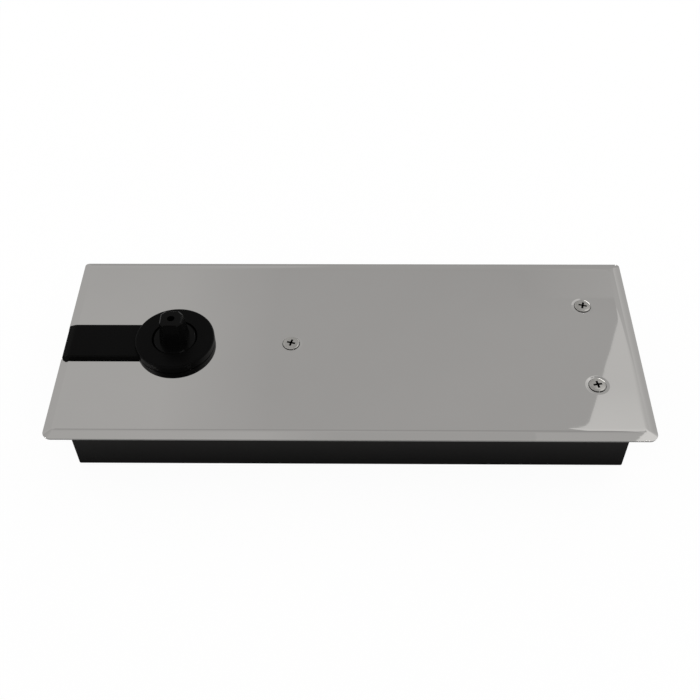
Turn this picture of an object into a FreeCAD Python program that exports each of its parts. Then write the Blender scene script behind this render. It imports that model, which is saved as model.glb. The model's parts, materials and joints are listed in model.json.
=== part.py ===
import FreeCAD, Part
import math
import os

V = FreeCAD.Vector

# How far a cutting tool runs past the face that it opens
past = 1.0

# Floor spring door closer. Millimetres. X runs along the cover, Y across it, Z up.
# The origin is under the middle of the cover, on the underside of the cement box.

# Cover plate: polished sheet with a pressed, sloping edge
cover_length = 325.0
cover_width = 132.0
cover_sheet = 1.5
cover_back_corner_r = 2.2
cover_front_corner_r = 4.8
bevel_band = 5.0
bevel_drop = 1.6
bevel_corner_r = 1.2
bevel_fold_r = 3.0

# Cement box: open steel tray that is set in the floor
overhang_x = 10.5
overhang_y = 11.0
box_sheet = 1.5
box_corner_r = 1.0
box_bottom_r = 0.8

# Closer body: iron casting with the oil-filled cylinder
levelling_gap = 1.0
bore_d = 24.0
bore_wall = 4.5
cover_gap = 3.0
head_length = 133.0
head_width = 76.0
head_corner_r = 12.0
head_edge = 1.0
left_room = 19.0
right_room = 52.0
foot_plate = 6.0
foot_narrow = 60.0
end_flange_length = 14.0
end_flange_width = 72.0
end_flange_height = 17.5
rib_thickness = 5.0
rib_count = 3
rib_height = 15.0
rib_reach = 17.0
rib_toe = 1.0

# Spindle and the parts that carry it
spindle_from_end = 63.5
foot_journal_r = 7.0
cam_seat_r = 8.5
top_journal_r = 9.0
seal_journal_r = 10.0
shoulder_r = 12.1
shoulder_edge = 0.7
shoulder_gap = 0.8
taper_height = 15.5
taper_base_x = 15.5
taper_base_y = 14.5
taper_top_x = 12.1
taper_top_y = 11.5
taper_corner_base = 2.8
taper_corner_top = 2.2
taper_lead = 0.6
spindle_thread_r = 2.1
spindle_thread_depth = 12.0
ball_r = 3.0
ball_floor = 1.5
ball_sunk = 4.0
foot_gap = 0.4
running_fit = 0.03
bearing_set_in = 0.2
bearing_roller_r = 1.5
bearing_roller_count = 17
bearing_height = 4.7
bearing_lip = 0.5
bearing_shell = 1.45
circlip_thickness = 1.0
circlip_width = 2.2
circlip_groove = 0.8
circlip_mouth = 6.0
circlip_gap = 0.2
key_width = 4.0
key_height = 4.0
key_length = 8.0

# Cam, follower roller and piston
cam_thickness = 9.0
cam_side_gap = 1.0
cam_rest_reach = 19.0
cam_rise_per_degree = 0.08
opening_angle = 130.0
cam_overrun = 5.0
cam_flank_points = 15
roller_r = 7.0
roller_edge = 0.5
roller_pin_r = 3.0
roller_gap = 0.05
chamber_gap = 1.1
fork_side_gap = 0.3
fork_end = 4.5
fork_depth_gap = 0.6
fork_end_gap = 0.9
pin_end_gap = 0.8
piston_skirt = 27.4
piston_spigot_r = 5.8
piston_spigot_length = 6.0
ring_width = 3.0
ring_depth = 2.0
ring_from_end = 6.0
oil_hole_r = 1.5
check_ball_r = 2.5
check_chamber_r = 2.8
check_ball_lift = 1.0
check_clip_length = 2.0
check_clip_hole_r = 1.0

# Spring, its adjusting screw and the plug that closes the cylinder
spring_turns = 8.0
spring_wire_across = 4.0
spring_wire_along = 5.0
spring_side_gap = 1.0
spring_plate_thickness = 6.0
spring_plate_gap = 0.1
adjuster_r = 4.0
adjuster_reach = 14.0
adjuster_collar_r = 8.0
adjuster_collar_length = 4.0
adjuster_free = 4.0
adjuster_hex_length = 4.0
adjuster_hex_flats = 6.7
plug_r = 13.0
plug_thread = 16.0
plug_washer_r = 15.0
plug_washer_thickness = 1.0
plug_hex_flats = 27.0
plug_hex_length = 5.0
seal_ring_width = 2.0
seal_ring_depth = 1.2

# Bearing cover over the cam chamber
lid_r = 31.0
lid_flange = 3.0
lid_gasket = 0.5
lid_neck_r = 13.5
neck_gap = 0.8
bush_wall = 2.5
seal_wall = 2.8
seal_floor = 0.2
seal_skin = 1.0
seal_lip = 0.5
seal_web = 0.4
lid_screw_circle_r = 27.0
lid_screw_r = 2.0
lid_screw_head_r = 3.8
lid_screw_length = 11.0
lid_screw_count = 4
lid_screw_slot = 1.0

# Regulating valves and filler plug
valve_from_bore = 9.0
closing_valve_from_spindle = 87.0
latching_valve_from_spindle = 71.0
valve_r = 4.0
valve_seat_r = 2.2
valve_neck_r = 2.6
valve_tip_r = 0.5
valve_lift = 1.0
valve_sunk = 0.5
valve_depth = 15.5
valve_seat_depth = 6.0
valve_head = 9.0
valve_slot_width = 1.2
valve_slot_depth = 1.4
filler_from_spindle = 41.0
filler_r = 4.0
filler_head_r = 6.0
filler_head = 2.0
filler_tip_gap = 1.0
filler_hex_flats = 4.0

# Cover screws and their posts
screw_from_spindle = 65.5
screw_pair_from_end = 27.3
screw_pair_y = 29.6
screw_head_r = 4.65
screw_dome = 1.2
screw_shank_r = 2.45
screw_length = 8.0
screw_fit = 0.05
post_flats = 10.0
boss_r = 6.0

# Ears of the closer body and what holds them in the box
ear_length = 15.0
ear_inner_y = 18.0
ear_lift = 6.0
ear_thickness = 6.0
ear_corner_r = 4.0
clamp_y = 30.5
clamp_screw_r = 2.5
clamp_slot_length = 9.0
clamp_slot_gap = 0.4
clamp_head_r = 4.25
clamp_head = 5.0
clamp_hex_flats = 4.0
clamp_washer_r = 5.2
clamp_washer = 1.0
stud_r = 5.0
stud_top_gap = 0.2
level_y = 22.5
level_screw_r = 2.5
level_screw_top = 1.5
level_slot = 1.0
side_screw_r = 3.0
side_screw_z = 8.5
side_screw_depth = 8.0
screw_tip_gap = 0.5
side_nut_flats = 10.0
side_nut = 3.0
left_side_screw_x = 16.0
thread_gap = 0.05

# Collar round the spindle and the strip that fills the slot in the cover
collar_r = 22.3
collar_height = 5.1
collar_edge_r = 1.1
collar_foot_edge = 0.35
collar_spigot_r = 19.5
collar_spigot_depth = 1.5
collar_bore_gap = 0.7
moulding_gap = 0.2
strip_width = 24.0
strip_height = 2.5
strip_setback = 1.2
strip_edge_r = 0.6
strip_bend_r = 6.0
slot_width = 22.0
clip_width = 26.0
clip_thickness = 1.4
clip_length = 24.0

# Heights and places that follow from the sizes above
body_bottom_z = box_sheet + levelling_gap
body_height = bore_d + 2 * bore_wall
body_top_z = body_bottom_z + body_height
axis_z = body_bottom_z + body_height / 2
cover_under_z = body_top_z + cover_gap
cover_top_z = cover_under_z + cover_sheet
box_length = cover_length - 2 * overhang_x
box_width = cover_width - 2 * overhang_y
inner_half_x = box_length / 2 - box_sheet
inner_half_y = box_width / 2 - box_sheet
spindle_x = spindle_from_end - cover_length / 2
screw_pair_x = cover_length / 2 - screw_pair_from_end
body_left_x = left_room - box_length / 2
body_right_x = box_length / 2 - right_room
head_right_x = body_left_x + head_length
cam_bottom_z = axis_z - cam_thickness / 2
cam_top_z = axis_z + cam_thickness / 2
chamber_floor_z = cam_bottom_z - cam_side_gap
cam_rise = math.degrees(cam_rise_per_degree)
cam_travel = cam_rise_per_degree * opening_angle
chamber_r = cam_rest_reach + cam_travel - roller_r + chamber_gap
roller_x = spindle_x + cam_rest_reach
fork_end_x = roller_x - fork_end
bore_end_x = fork_end_x - fork_end_gap
slot_end_x = roller_x + roller_r + fork_depth_gap
piston_end_x = slot_end_x + piston_skirt
plug_in_x = body_right_x - plug_thread
collar_start_x = plug_in_x - adjuster_collar_length
spring_plate_end_x = collar_start_x - adjuster_free
spring_end_x = spring_plate_end_x - spring_plate_thickness
spring_length = spring_end_x - piston_end_x
bore_r = bore_d / 2
piston_r = bore_r - running_fit
ball_bottom_z = body_bottom_z + ball_floor
foot_z = ball_bottom_z + ball_sunk
foot_recess_z = foot_z - foot_gap
bearing_z = foot_z + bearing_set_in
bearing_shell_inner_r = foot_journal_r + 2 * bearing_roller_r + 2 * running_fit
bearing_shell_r = bearing_shell_inner_r + bearing_shell
circlip_top_z = cam_bottom_z - circlip_gap
recess_floor_z = body_top_z - lid_flange - lid_gasket
lid_under_z = body_top_z - lid_flange
neck_bottom_z = cam_top_z + neck_gap
seal_bottom_z = lid_under_z + seal_floor
shoulder_z = body_top_z + shoulder_gap
collar_top_z = cover_top_z + collar_height
taper_top_z = collar_top_z + taper_height
ear_bottom_z = body_bottom_z + ear_lift
ear_top_z = ear_bottom_z + ear_thickness
ear_outer_y = head_width / 2
left_ear_x = body_left_x - ear_length / 2
right_ear_x = body_right_x + ear_length / 2
valve_y = bore_r + valve_from_bore
closing_valve_x = spindle_x + closing_valve_from_spindle
latching_valve_x = spindle_x + latching_valve_from_spindle
cover_screw_places = [(spindle_x + screw_from_spindle, 0.0)]
for side in (-1, 1):
    cover_screw_places.append((screw_pair_x, side * screw_pair_y))


def block(x0, x1, y0, y1, z0, z1):
    return Part.makeBox(x1 - x0, y1 - y0, z1 - z0, V(x0, y0, z0))


def upright(r, z0, z1, x=0.0, y=0.0):
    return Part.makeCylinder(r, z1 - z0, V(x, y, z0), V(0, 0, 1))


def along_x(r, x0, x1, y=0.0, z=axis_z):
    return Part.makeCylinder(r, x1 - x0, V(x0, y, z), V(1, 0, 0))


def along_y(r, y0, y1, x, z):
    return Part.makeCylinder(r, y1 - y0, V(x, y0, z), V(0, 1, 0))


def turned(points, x=0.0, y=0.0):
    """A solid of revolution about the vertical line at x, y, from (radius, z) points."""
    corners = [V(x + r, y, z) for r, z in points]
    face = Part.Face(Part.makePolygon(corners + corners[:1]))
    return face.revolve(V(x, y, 0), V(0, 0, 1), 360)


def turned_on_axis(points):
    """A solid of revolution about the cylinder's axis, from (x, radius) points."""
    corners = [V(px, 0, axis_z + r) for px, r in points]
    face = Part.Face(Part.makePolygon(corners + corners[:1]))
    return face.revolve(V(0, 0, axis_z), V(1, 0, 0), 360)


def ring(r_in, r_out, z0, z1, x=0.0, y=0.0):
    return turned([(r_in, z0), (r_out, z0), (r_out, z1), (r_in, z1)], x, y)


def hexagon(flats, start, length, direction):
    """A hexagonal prism from a start point along a direction."""
    corner_r = flats / math.sqrt(3)
    prism_wire = Part.makePolygon(
        [V(corner_r * math.cos(math.radians(60 * i)), corner_r * math.sin(math.radians(60 * i)), 0)
         for i in range(7)])
    prism = Part.Face(prism_wire).extrude(V(0, 0, length))
    turn = FreeCAD.Rotation(V(0, 0, 1), direction)
    prism.Placement = FreeCAD.Placement(start, turn)
    return prism


def rounded_outline(half_x, half_y, back_r, z, middle_x=0.0, front_r=None):
    """A closed rectangle with round corners, flat at height z; front_r is for corners on the -Y side."""
    edges = []
    quarter = [(1, 1), (-1, 1), (-1, -1), (1, -1)]
    starts = []
    for number, (sx, sy) in enumerate(quarter):
        r = back_r if front_r is None or sy > 0 else front_r
        bend = r * (1 - math.sqrt(0.5))
        on_x_side = V(middle_x + sx * half_x, sy * (half_y - r), z)
        on_y_side = V(middle_x + sx * (half_x - r), sy * half_y, z)
        mid = V(middle_x + sx * (half_x - bend), sy * (half_y - bend), z)
        first, last = (on_x_side, on_y_side) if number % 2 == 0 else (on_y_side, on_x_side)
        starts.append((first, mid, last))
    for number, (first, mid, last) in enumerate(starts):
        edges.append(Part.Arc(first, mid, last).toShape())
        following = starts[(number + 1) % 4][0]
        edges.append(Part.LineSegment(last, following).toShape())
    return Part.Wire(edges)


def rounded_block(half_x, half_y, back_r, z0, z1, middle_x=0.0, front_r=None):
    outline = rounded_outline(half_x, half_y, back_r, z0, middle_x, front_r)
    return Part.Face(outline).extrude(V(0, 0, z1 - z0))


def edges_at_height(shape, z):
    """Edges that lie wholly in the level plane z."""
    return [e for e in shape.Edges if abs(e.BoundBox.ZMin - z) < 1e-4 and abs(e.BoundBox.ZMax - z) < 1e-4]


def fuse_all(shapes):
    return shapes[0].multiFuse(shapes[1:]).removeSplitter()


def cover_screw(x, y, gap=0.0):
    """A raised countersunk screw, or with a gap the pocket that it needs."""
    top = cover_top_z
    head_r = screw_head_r + gap
    shank_r = screw_shank_r + gap
    cone = screw_head_r - screw_shank_r
    tip_z = top - screw_length - gap
    outline = [V(0, 0, tip_z), V(shank_r, 0, tip_z), V(shank_r, 0, top - cone), V(head_r, 0, top)]
    edges = [Part.LineSegment(a, b).toShape() for a, b in zip(outline, outline[1:])]
    crown = V(0, 0, top + screw_dome)
    radius = (screw_dome ** 2 + head_r ** 2) / (2 * screw_dome)
    lean = math.asin(head_r / radius) / 2
    between = V(radius * math.sin(lean), 0, crown.z - radius * (1 - math.cos(lean)))
    edges.append(Part.Arc(outline[-1], between, crown).toShape())
    edges.append(Part.LineSegment(crown, outline[0]).toShape())
    screw = Part.Face(Part.Wire(edges)).revolve(V(0, 0, 0), V(0, 0, 1), 360)
    screw.translate(V(x, y, 0))
    return screw


def make_cover_plate():
    """Pressed sheet: a flat field with a sloping edge, one skin thick all over."""
    half_x = cover_length / 2
    half_y = cover_width / 2
    edge_z = cover_top_z - bevel_drop
    outer = rounded_outline(half_x, half_y, cover_back_corner_r, edge_z, 0.0, cover_front_corner_r)
    inner = rounded_outline(half_x - bevel_band, half_y - bevel_band, bevel_corner_r, cover_top_z)
    crown = Part.makeLoft([outer, inner], True, True)
    skirt = rounded_block(half_x, half_y, cover_back_corner_r, edge_z - cover_sheet, edge_z,
                          0.0, cover_front_corner_r)
    hollow = crown.copy()
    hollow.translate(V(0, 0, -cover_sheet))
    plate = crown.fuse(skirt).removeSplitter().cut(hollow)
    plate = plate.makeFillet(bevel_fold_r, edges_at_height(plate, cover_top_z))
    slot = block(-half_x - past, spindle_x, -slot_width / 2, slot_width / 2, 0, cover_top_z + past)
    hole = upright(collar_spigot_r + moulding_gap, 0, cover_top_z + past, spindle_x)
    plate = plate.cut(slot).cut(hole)
    for x, y in cover_screw_places:
        plate = plate.cut(cover_screw(x, y, screw_fit))
    return plate


def make_cement_box():
    """Folded tray with round corners; it is open at the top."""
    half_x = box_length / 2
    half_y = box_width / 2
    outside = rounded_block(half_x, half_y, box_corner_r, 0, cover_under_z)
    outside = outside.makeFillet(box_bottom_r, edges_at_height(outside, 0))
    inner_r = max(box_corner_r - box_sheet, 0.1)
    inside = rounded_block(inner_half_x, inner_half_y, inner_r, box_sheet, cover_under_z + past)
    return outside.cut(inside)


def make_cover_posts():
    posts = []
    for x, y in cover_screw_places[1:]:
        post = hexagon(post_flats, V(x, y, box_sheet), cover_under_z - box_sheet, V(0, 0, 1))
        posts.append(post.cut(cover_screw(x, y, screw_fit)))
    return Part.makeCompound(posts)


def make_cover_screws():
    return Part.makeCompound([cover_screw(x, y) for x, y in cover_screw_places])


def make_spindle_collar():
    """Turned cap with a soft upper edge and a small chamfer at its foot, located in the cover's hole."""
    bore_r_here = shoulder_r + collar_bore_gap
    flange = ring(bore_r_here, collar_r, cover_top_z, collar_top_z, spindle_x)
    top_edges = edges_at_height(flange, collar_top_z)
    outer_edge = max(top_edges, key=lambda e: e.Curve.Radius)
    flange = flange.makeFillet(collar_edge_r, [outer_edge])
    foot_edge = max(edges_at_height(flange, cover_top_z), key=lambda e: e.Curve.Radius)
    flange = flange.makeChamfer(collar_foot_edge, [foot_edge])
    spigot = ring(bore_r_here, collar_spigot_r, cover_under_z - collar_spigot_depth, cover_top_z, spindle_x)
    return flange.fuse(spigot).removeSplitter()


def strip_cap(left, fold, right, left_z):
    """The strip's upper part, which bends down with the cover's sloping edge at its left end."""
    lean = math.atan2(bevel_drop, bevel_band)
    top_z = cover_top_z + strip_height
    reach = strip_bend_r * math.tan(lean / 2)
    bend_start = V(fold - reach * math.cos(lean), 0, top_z - reach * math.sin(lean))
    bend_middle = V(fold + reach - strip_bend_r * math.sin(lean / 2), 0,
                    top_z + strip_bend_r * (math.cos(lean / 2) - 1))
    bend_end = V(fold + reach, 0, top_z)
    corners = [bend_end, V(right, 0, top_z), V(right, 0, cover_top_z), V(fold, 0, cover_top_z),
               V(left, 0, left_z), V(left, 0, left_z + strip_height), bend_start]
    edges = [Part.LineSegment(a, b).toShape() for a, b in zip(corners, corners[1:])]
    edges.append(Part.Arc(bend_start, bend_middle, bend_end).toShape())
    cap = Part.Face(Part.Wire(edges)).extrude(V(0, strip_width, 0))
    cap.translate(V(0, -strip_width / 2, 0))
    upper = [e for e in cap.Edges if e.BoundBox.ZMin > left_z + strip_height - strip_edge_r / 2]
    along = [e for e in upper if e.BoundBox.YLength < strip_edge_r]
    end = [e for e in upper if e.BoundBox.XMax < left + strip_edge_r]
    return cap.makeFillet(strip_edge_r, along + end)


def make_slot_cover():
    """Strip that fills the slot: a cap on the plate, a web in the slot and a clip below."""
    left = strip_setback - cover_length / 2
    fold = bevel_band - cover_length / 2
    right = spindle_x
    left_z = cover_top_z - bevel_drop / bevel_band * (fold - left)
    top_line = [V(left, 0, left_z), V(fold, 0, cover_top_z), V(right, 0, cover_top_z)]
    down = V(0, 0, -cover_sheet)
    web_side = [p.add(down) for p in top_line] + top_line[::-1]
    web_width = slot_width - 2 * moulding_gap
    web = Part.Face(Part.makePolygon(web_side + web_side[:1])).extrude(V(0, web_width, 0))
    web.translate(V(0, -web_width / 2, 0))
    clip_right = spindle_x - collar_spigot_r - 2 * moulding_gap
    clip = block(clip_right - clip_length, clip_right, -clip_width / 2, clip_width / 2,
                 cover_under_z - clip_thickness, cover_under_z)
    strip = fuse_all([strip_cap(left, fold, right, left_z), web, clip])
    room = upright(collar_r + moulding_gap, cover_top_z, cover_top_z + strip_height + past, spindle_x)
    spigot_room = upright(collar_spigot_r + moulding_gap, 0, cover_top_z, spindle_x)
    return strip.cut(room).cut(spigot_room)


def make_spindle():
    """Stepped shaft with a round shoulder and a tapered square for the door's strap."""
    points = [(0, foot_z), (foot_journal_r, foot_z), (foot_journal_r, cam_bottom_z),
              (cam_seat_r, cam_bottom_z), (cam_seat_r, cam_top_z), (top_journal_r, cam_top_z),
              (top_journal_r, seal_bottom_z), (seal_journal_r, seal_bottom_z),
              (seal_journal_r, shoulder_z), (shoulder_r, shoulder_z),
              (shoulder_r, collar_top_z - shoulder_edge), (shoulder_r - shoulder_edge, collar_top_z),
              (0, collar_top_z)]
    shaft = turned(points, spindle_x)
    lead_z = taper_top_z - taper_lead
    share = (lead_z - collar_top_z) / taper_height
    lead_x = taper_base_x + (taper_top_x - taper_base_x) * share
    lead_y = taper_base_y + (taper_top_y - taper_base_y) * share
    lead_corner = taper_corner_base + (taper_corner_top - taper_corner_base) * share
    square = Part.makeLoft([corner_cut_outline(taper_base_x, taper_base_y, taper_corner_base, collar_top_z),
                            corner_cut_outline(lead_x, lead_y, lead_corner, lead_z)], True, True)
    lead = Part.makeLoft([corner_cut_outline(lead_x, lead_y, lead_corner, lead_z),
                          corner_cut_outline(lead_x - 2 * taper_lead, lead_y - 2 * taper_lead,
                                             lead_corner, taper_top_z)], True, True)
    spindle = fuse_all([shaft, square, lead])
    thread_foot_z = taper_top_z - spindle_thread_depth
    spindle = spindle.cut(upright(spindle_thread_r, thread_foot_z, taper_top_z + past, spindle_x))
    ball_top_z = ball_bottom_z + 2 * ball_r + thread_gap
    spindle = spindle.cut(upright(ball_r + running_fit, foot_z - past, ball_top_z, spindle_x))
    spindle = spindle.cut(ring(foot_journal_r - circlip_groove, foot_journal_r + past,
                               circlip_top_z - circlip_thickness, circlip_top_z, spindle_x))
    return spindle.cut(key_block())


def corner_cut_outline(size_x, size_y, corner, z):
    """A level rectangle with its four corners cut off, centred on the spindle."""
    hx = size_x / 2
    hy = size_y / 2
    points = [(hx, hy - corner), (hx - corner, hy), (corner - hx, hy), (-hx, hy - corner),
              (-hx, corner - hy), (corner - hx, -hy), (hx - corner, -hy), (hx, corner - hy)]
    corners = [V(spindle_x + px, py, z) for px, py in points]
    return Part.makePolygon(corners + corners[:1])


def key_block():
    """The parallel key, on the side of the spindle away from the roller."""
    outer = cam_seat_r + key_height / 2
    inner = cam_seat_r - key_height / 2
    half = key_width / 2
    return block(spindle_x - outer, spindle_x - inner, -half, half,
                 axis_z - key_length / 2, axis_z + key_length / 2)


def cam_flank(side):
    """Curve that the roller rolls on: the piston's travel grows evenly with the angle."""
    points = []
    last = math.radians(opening_angle + cam_overrun)
    offset = roller_r + roller_gap
    for number in range(cam_flank_points):
        angle = last * number / (cam_flank_points - 1)
        reach = cam_rest_reach + cam_rise * angle
        along_dx = cam_rise * math.cos(angle) - reach * math.sin(angle)
        along_dy = cam_rise * math.sin(angle) + reach * math.cos(angle)
        speed = math.hypot(along_dx, along_dy)
        px = reach * math.cos(angle) - offset * along_dy / speed
        py = reach * math.sin(angle) + offset * along_dx / speed
        points.append(V(spindle_x + px, side * py, cam_bottom_z))
    return points


def make_cam():
    """Heart-shaped disc: a notch for the roller at rest and two mirrored spiral flanks."""
    upper = cam_flank(1)
    lower = cam_flank(-1)
    edges = []
    for points in (upper, lower):
        curve = Part.BSplineCurve()
        curve.interpolate(points)
        edges.append(curve.toShape())
    notch_x = roller_x - roller_r - roller_gap
    edges.append(Part.Arc(upper[0], V(notch_x, 0, cam_bottom_z), lower[0]).toShape())
    back_r = math.hypot(upper[-1].x - spindle_x, upper[-1].y)
    edges.append(Part.Arc(upper[-1], V(spindle_x - back_r, 0, cam_bottom_z), lower[-1]).toShape())
    outline = Part.Wire(Part.__sortEdges__(edges))
    cam = Part.Face(outline).extrude(V(0, 0, cam_thickness))
    cam = cam.cut(upright(cam_seat_r + running_fit, 0, cover_top_z, spindle_x))
    outer = cam_seat_r + key_height / 2 + thread_gap
    half = key_width / 2 + thread_gap
    keyway = block(spindle_x - outer, spindle_x, -half, half, cam_bottom_z, cam_top_z)
    return cam.cut(keyway)


def make_circlip():
    inner = foot_journal_r - circlip_groove + running_fit
    clip = ring(inner, inner + circlip_width, circlip_top_z - circlip_thickness + running_fit,
                circlip_top_z - running_fit, spindle_x)
    mouth = block(spindle_x - inner - circlip_width - past, spindle_x, -circlip_mouth / 2, circlip_mouth / 2,
                  0, cam_bottom_z)
    return clip.cut(mouth)


def make_thrust_ball():
    return Part.makeSphere(ball_r, V(spindle_x, 0, ball_bottom_z + ball_r))


def make_bearing_shell():
    """Drawn cup with a lip at each end that keeps the rollers in."""
    lip_r = foot_journal_r + bearing_roller_r
    z0 = bearing_z
    z1 = bearing_z + bearing_height
    points = [(lip_r, z0), (bearing_shell_r, z0), (bearing_shell_r, z1), (lip_r, z1),
              (lip_r, z1 - bearing_lip), (bearing_shell_inner_r, z1 - bearing_lip),
              (bearing_shell_inner_r, z0 + bearing_lip), (lip_r, z0 + bearing_lip)]
    return turned(points, spindle_x)


def make_bearing_rollers():
    rollers = []
    circle_r = foot_journal_r + bearing_roller_r + running_fit
    gap = bearing_lip + running_fit
    for number in range(bearing_roller_count):
        angle = 2 * math.pi * number / bearing_roller_count
        rollers.append(upright(bearing_roller_r, bearing_z + gap, bearing_z + bearing_height - gap,
                               spindle_x + circle_r * math.cos(angle), circle_r * math.sin(angle)))
    return Part.makeCompound(rollers)


def make_bearing_cover():
    """Round lid with a neck that holds the upper bush, and a seat for the shaft seal."""
    bush_r = top_journal_r + running_fit + bush_wall
    seal_r = seal_journal_r + seal_wall
    points = [(bush_r, neck_bottom_z), (lid_neck_r, neck_bottom_z), (lid_neck_r, lid_under_z),
              (lid_r, lid_under_z), (lid_r, body_top_z), (seal_r, body_top_z), (seal_r, seal_bottom_z),
              (bush_r, seal_bottom_z)]
    lid = turned(points, spindle_x)
    for x, y in lid_screw_places():
        lid = lid.cut(lid_screw(x, y, thread_gap))
    return lid


def lid_screw_places():
    places = []
    for number in range(lid_screw_count):
        angle = 2 * math.pi * (number + 0.5) / lid_screw_count
        x = spindle_x + lid_screw_circle_r * math.cos(angle)
        places.append((x, lid_screw_circle_r * math.sin(angle)))
    return places


def lid_screw(x, y, gap=0.0):
    cone = lid_screw_head_r - lid_screw_r
    tip_z = body_top_z - lid_screw_length - gap
    shank_r = lid_screw_r + gap
    head_r = lid_screw_head_r + gap
    points = [(0, tip_z), (shank_r, tip_z), (shank_r, body_top_z - cone), (head_r, body_top_z),
              (0, body_top_z)]
    return turned(points, x, y)


def make_lid_screws():
    screws = []
    for x, y in lid_screw_places():
        slot = block(x - lid_screw_head_r, x + lid_screw_head_r, y - lid_screw_slot / 2,
                     y + lid_screw_slot / 2, body_top_z - lid_screw_slot, body_top_z + past)
        screws.append(lid_screw(x, y).cut(slot))
    return Part.makeCompound(screws)


def make_lid_gasket():
    gasket = ring(chamber_r, lid_r, recess_floor_z, lid_under_z, spindle_x)
    for x, y in lid_screw_places():
        gasket = gasket.cut(lid_screw(x, y, thread_gap))
    return gasket


def make_upper_bush():
    inner = top_journal_r + running_fit
    return ring(inner, inner + bush_wall, neck_bottom_z, seal_bottom_z, spindle_x)


def make_spindle_seal():
    """Shaft seal with a thin lip that leans on the shaft."""
    inner = seal_journal_r + running_fit
    outer = seal_journal_r + seal_wall
    z0 = seal_bottom_z
    z1 = body_top_z
    mid = (z0 + z1) / 2
    points = [(inner, z0), (outer, z0), (outer, z1), (outer - seal_skin, z1),
              (outer - seal_skin, mid + seal_web), (inner + 2 * seal_lip, mid + seal_web),
              (inner + seal_lip, z1 - seal_web), (inner, z1 - seal_web)]
    return turned(points, spindle_x)


def make_closer_body():
    """Iron casting: a broad head round the cam, a ribbed cylinder and four ears."""
    shapes = [body_head(), along_x(body_height / 2, head_right_x - head_corner_r, body_right_x)]
    shapes.append(body_foot())
    shapes.append(body_end_flange())
    for number in range(rib_count):
        shapes.extend(body_ribs(number))
    for middle_x in (left_ear_x, right_ear_x):
        for side in (-1, 1):
            shapes.append(body_ear(middle_x, side))
    shapes.append(upright(boss_r, axis_z + bore_r + past, cover_under_z, *cover_screw_places[0]))
    body = fuse_all(shapes)
    for tool in body_cutters():
        body = body.cut(tool)
    return body


def body_head():
    middle = (body_left_x + head_right_x) / 2
    head = rounded_block(head_length / 2, head_width / 2, head_corner_r, body_bottom_z, body_top_z, middle)
    return head.makeChamfer(head_edge, edges_at_height(head, body_top_z))


def body_foot():
    """Foot plate under the cylinder, narrower towards the far end."""
    x0 = head_right_x - head_corner_r
    x1 = body_right_x
    half_0 = head_width / 2
    half_1 = foot_narrow / 2
    corners = [V(x0, -half_0, body_bottom_z), V(x1, -half_1, body_bottom_z), V(x1, half_1, body_bottom_z),
               V(x0, half_0, body_bottom_z)]
    return Part.Face(Part.makePolygon(corners + corners[:1])).extrude(V(0, 0, foot_plate))


def body_end_flange():
    half = end_flange_length / 2
    return rounded_block(half, end_flange_width / 2, ear_corner_r, body_bottom_z,
                         body_bottom_z + end_flange_height, body_right_x - half)


def body_ribs(number):
    """A pair of sloping ribs between the cylinder and the foot plate."""
    span = body_right_x - end_flange_length - head_right_x
    x = head_right_x + span * (number + 1) / (rib_count + 1) - rib_thickness / 2
    z = body_bottom_z + foot_plate / 2
    ribs = []
    for side in (-1, 1):
        corners = [V(x, side * bore_r, z), V(x, side * (bore_r + rib_reach), z),
                   V(x, side * (bore_r + rib_reach), z + foot_plate / 2 + rib_toe),
                   V(x, side * bore_r, z + foot_plate / 2 + rib_height)]
        ribs.append(Part.Face(Part.makePolygon(corners + corners[:1])).extrude(V(rib_thickness, 0, 0)))
    return ribs


def body_ear(middle_x, side):
    """One ear, with a slotted hole for its clamp screw and a hole for its levelling screw."""
    towards_body = 1 if middle_x < 0 else -1
    x0 = middle_x - ear_length / 2 - (ear_corner_r if towards_body < 0 else 0)
    x1 = middle_x + ear_length / 2 + (ear_corner_r if towards_body > 0 else 0)
    outer = ear_outer_y if towards_body > 0 else end_flange_width / 2
    if side > 0:
        ear = block(x0, x1, ear_inner_y, outer, ear_bottom_z, ear_top_z)
    else:
        ear = block(x0, x1, -outer, -ear_inner_y, ear_bottom_z, ear_top_z)
    end_x = x0 if towards_body > 0 else x1
    corners = [e for e in ear.Edges if abs(e.BoundBox.XMin - end_x) < 1e-4
               and abs(e.BoundBox.XMax - end_x) < 1e-4 and e.BoundBox.ZLength > ear_thickness / 2]
    return ear.makeFillet(ear_corner_r, corners)


def slotted_hole(x, y, r, length, z0, z1):
    """A round-ended slot across the closer, as wide as 2 r."""
    half = length / 2 - r
    parts = [upright(r, z0, z1, x, y - half), upright(r, z0, z1, x, y + half),
             block(x - r, x + r, y - half, y + half, z0, z1)]
    return fuse_all(parts)


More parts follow.
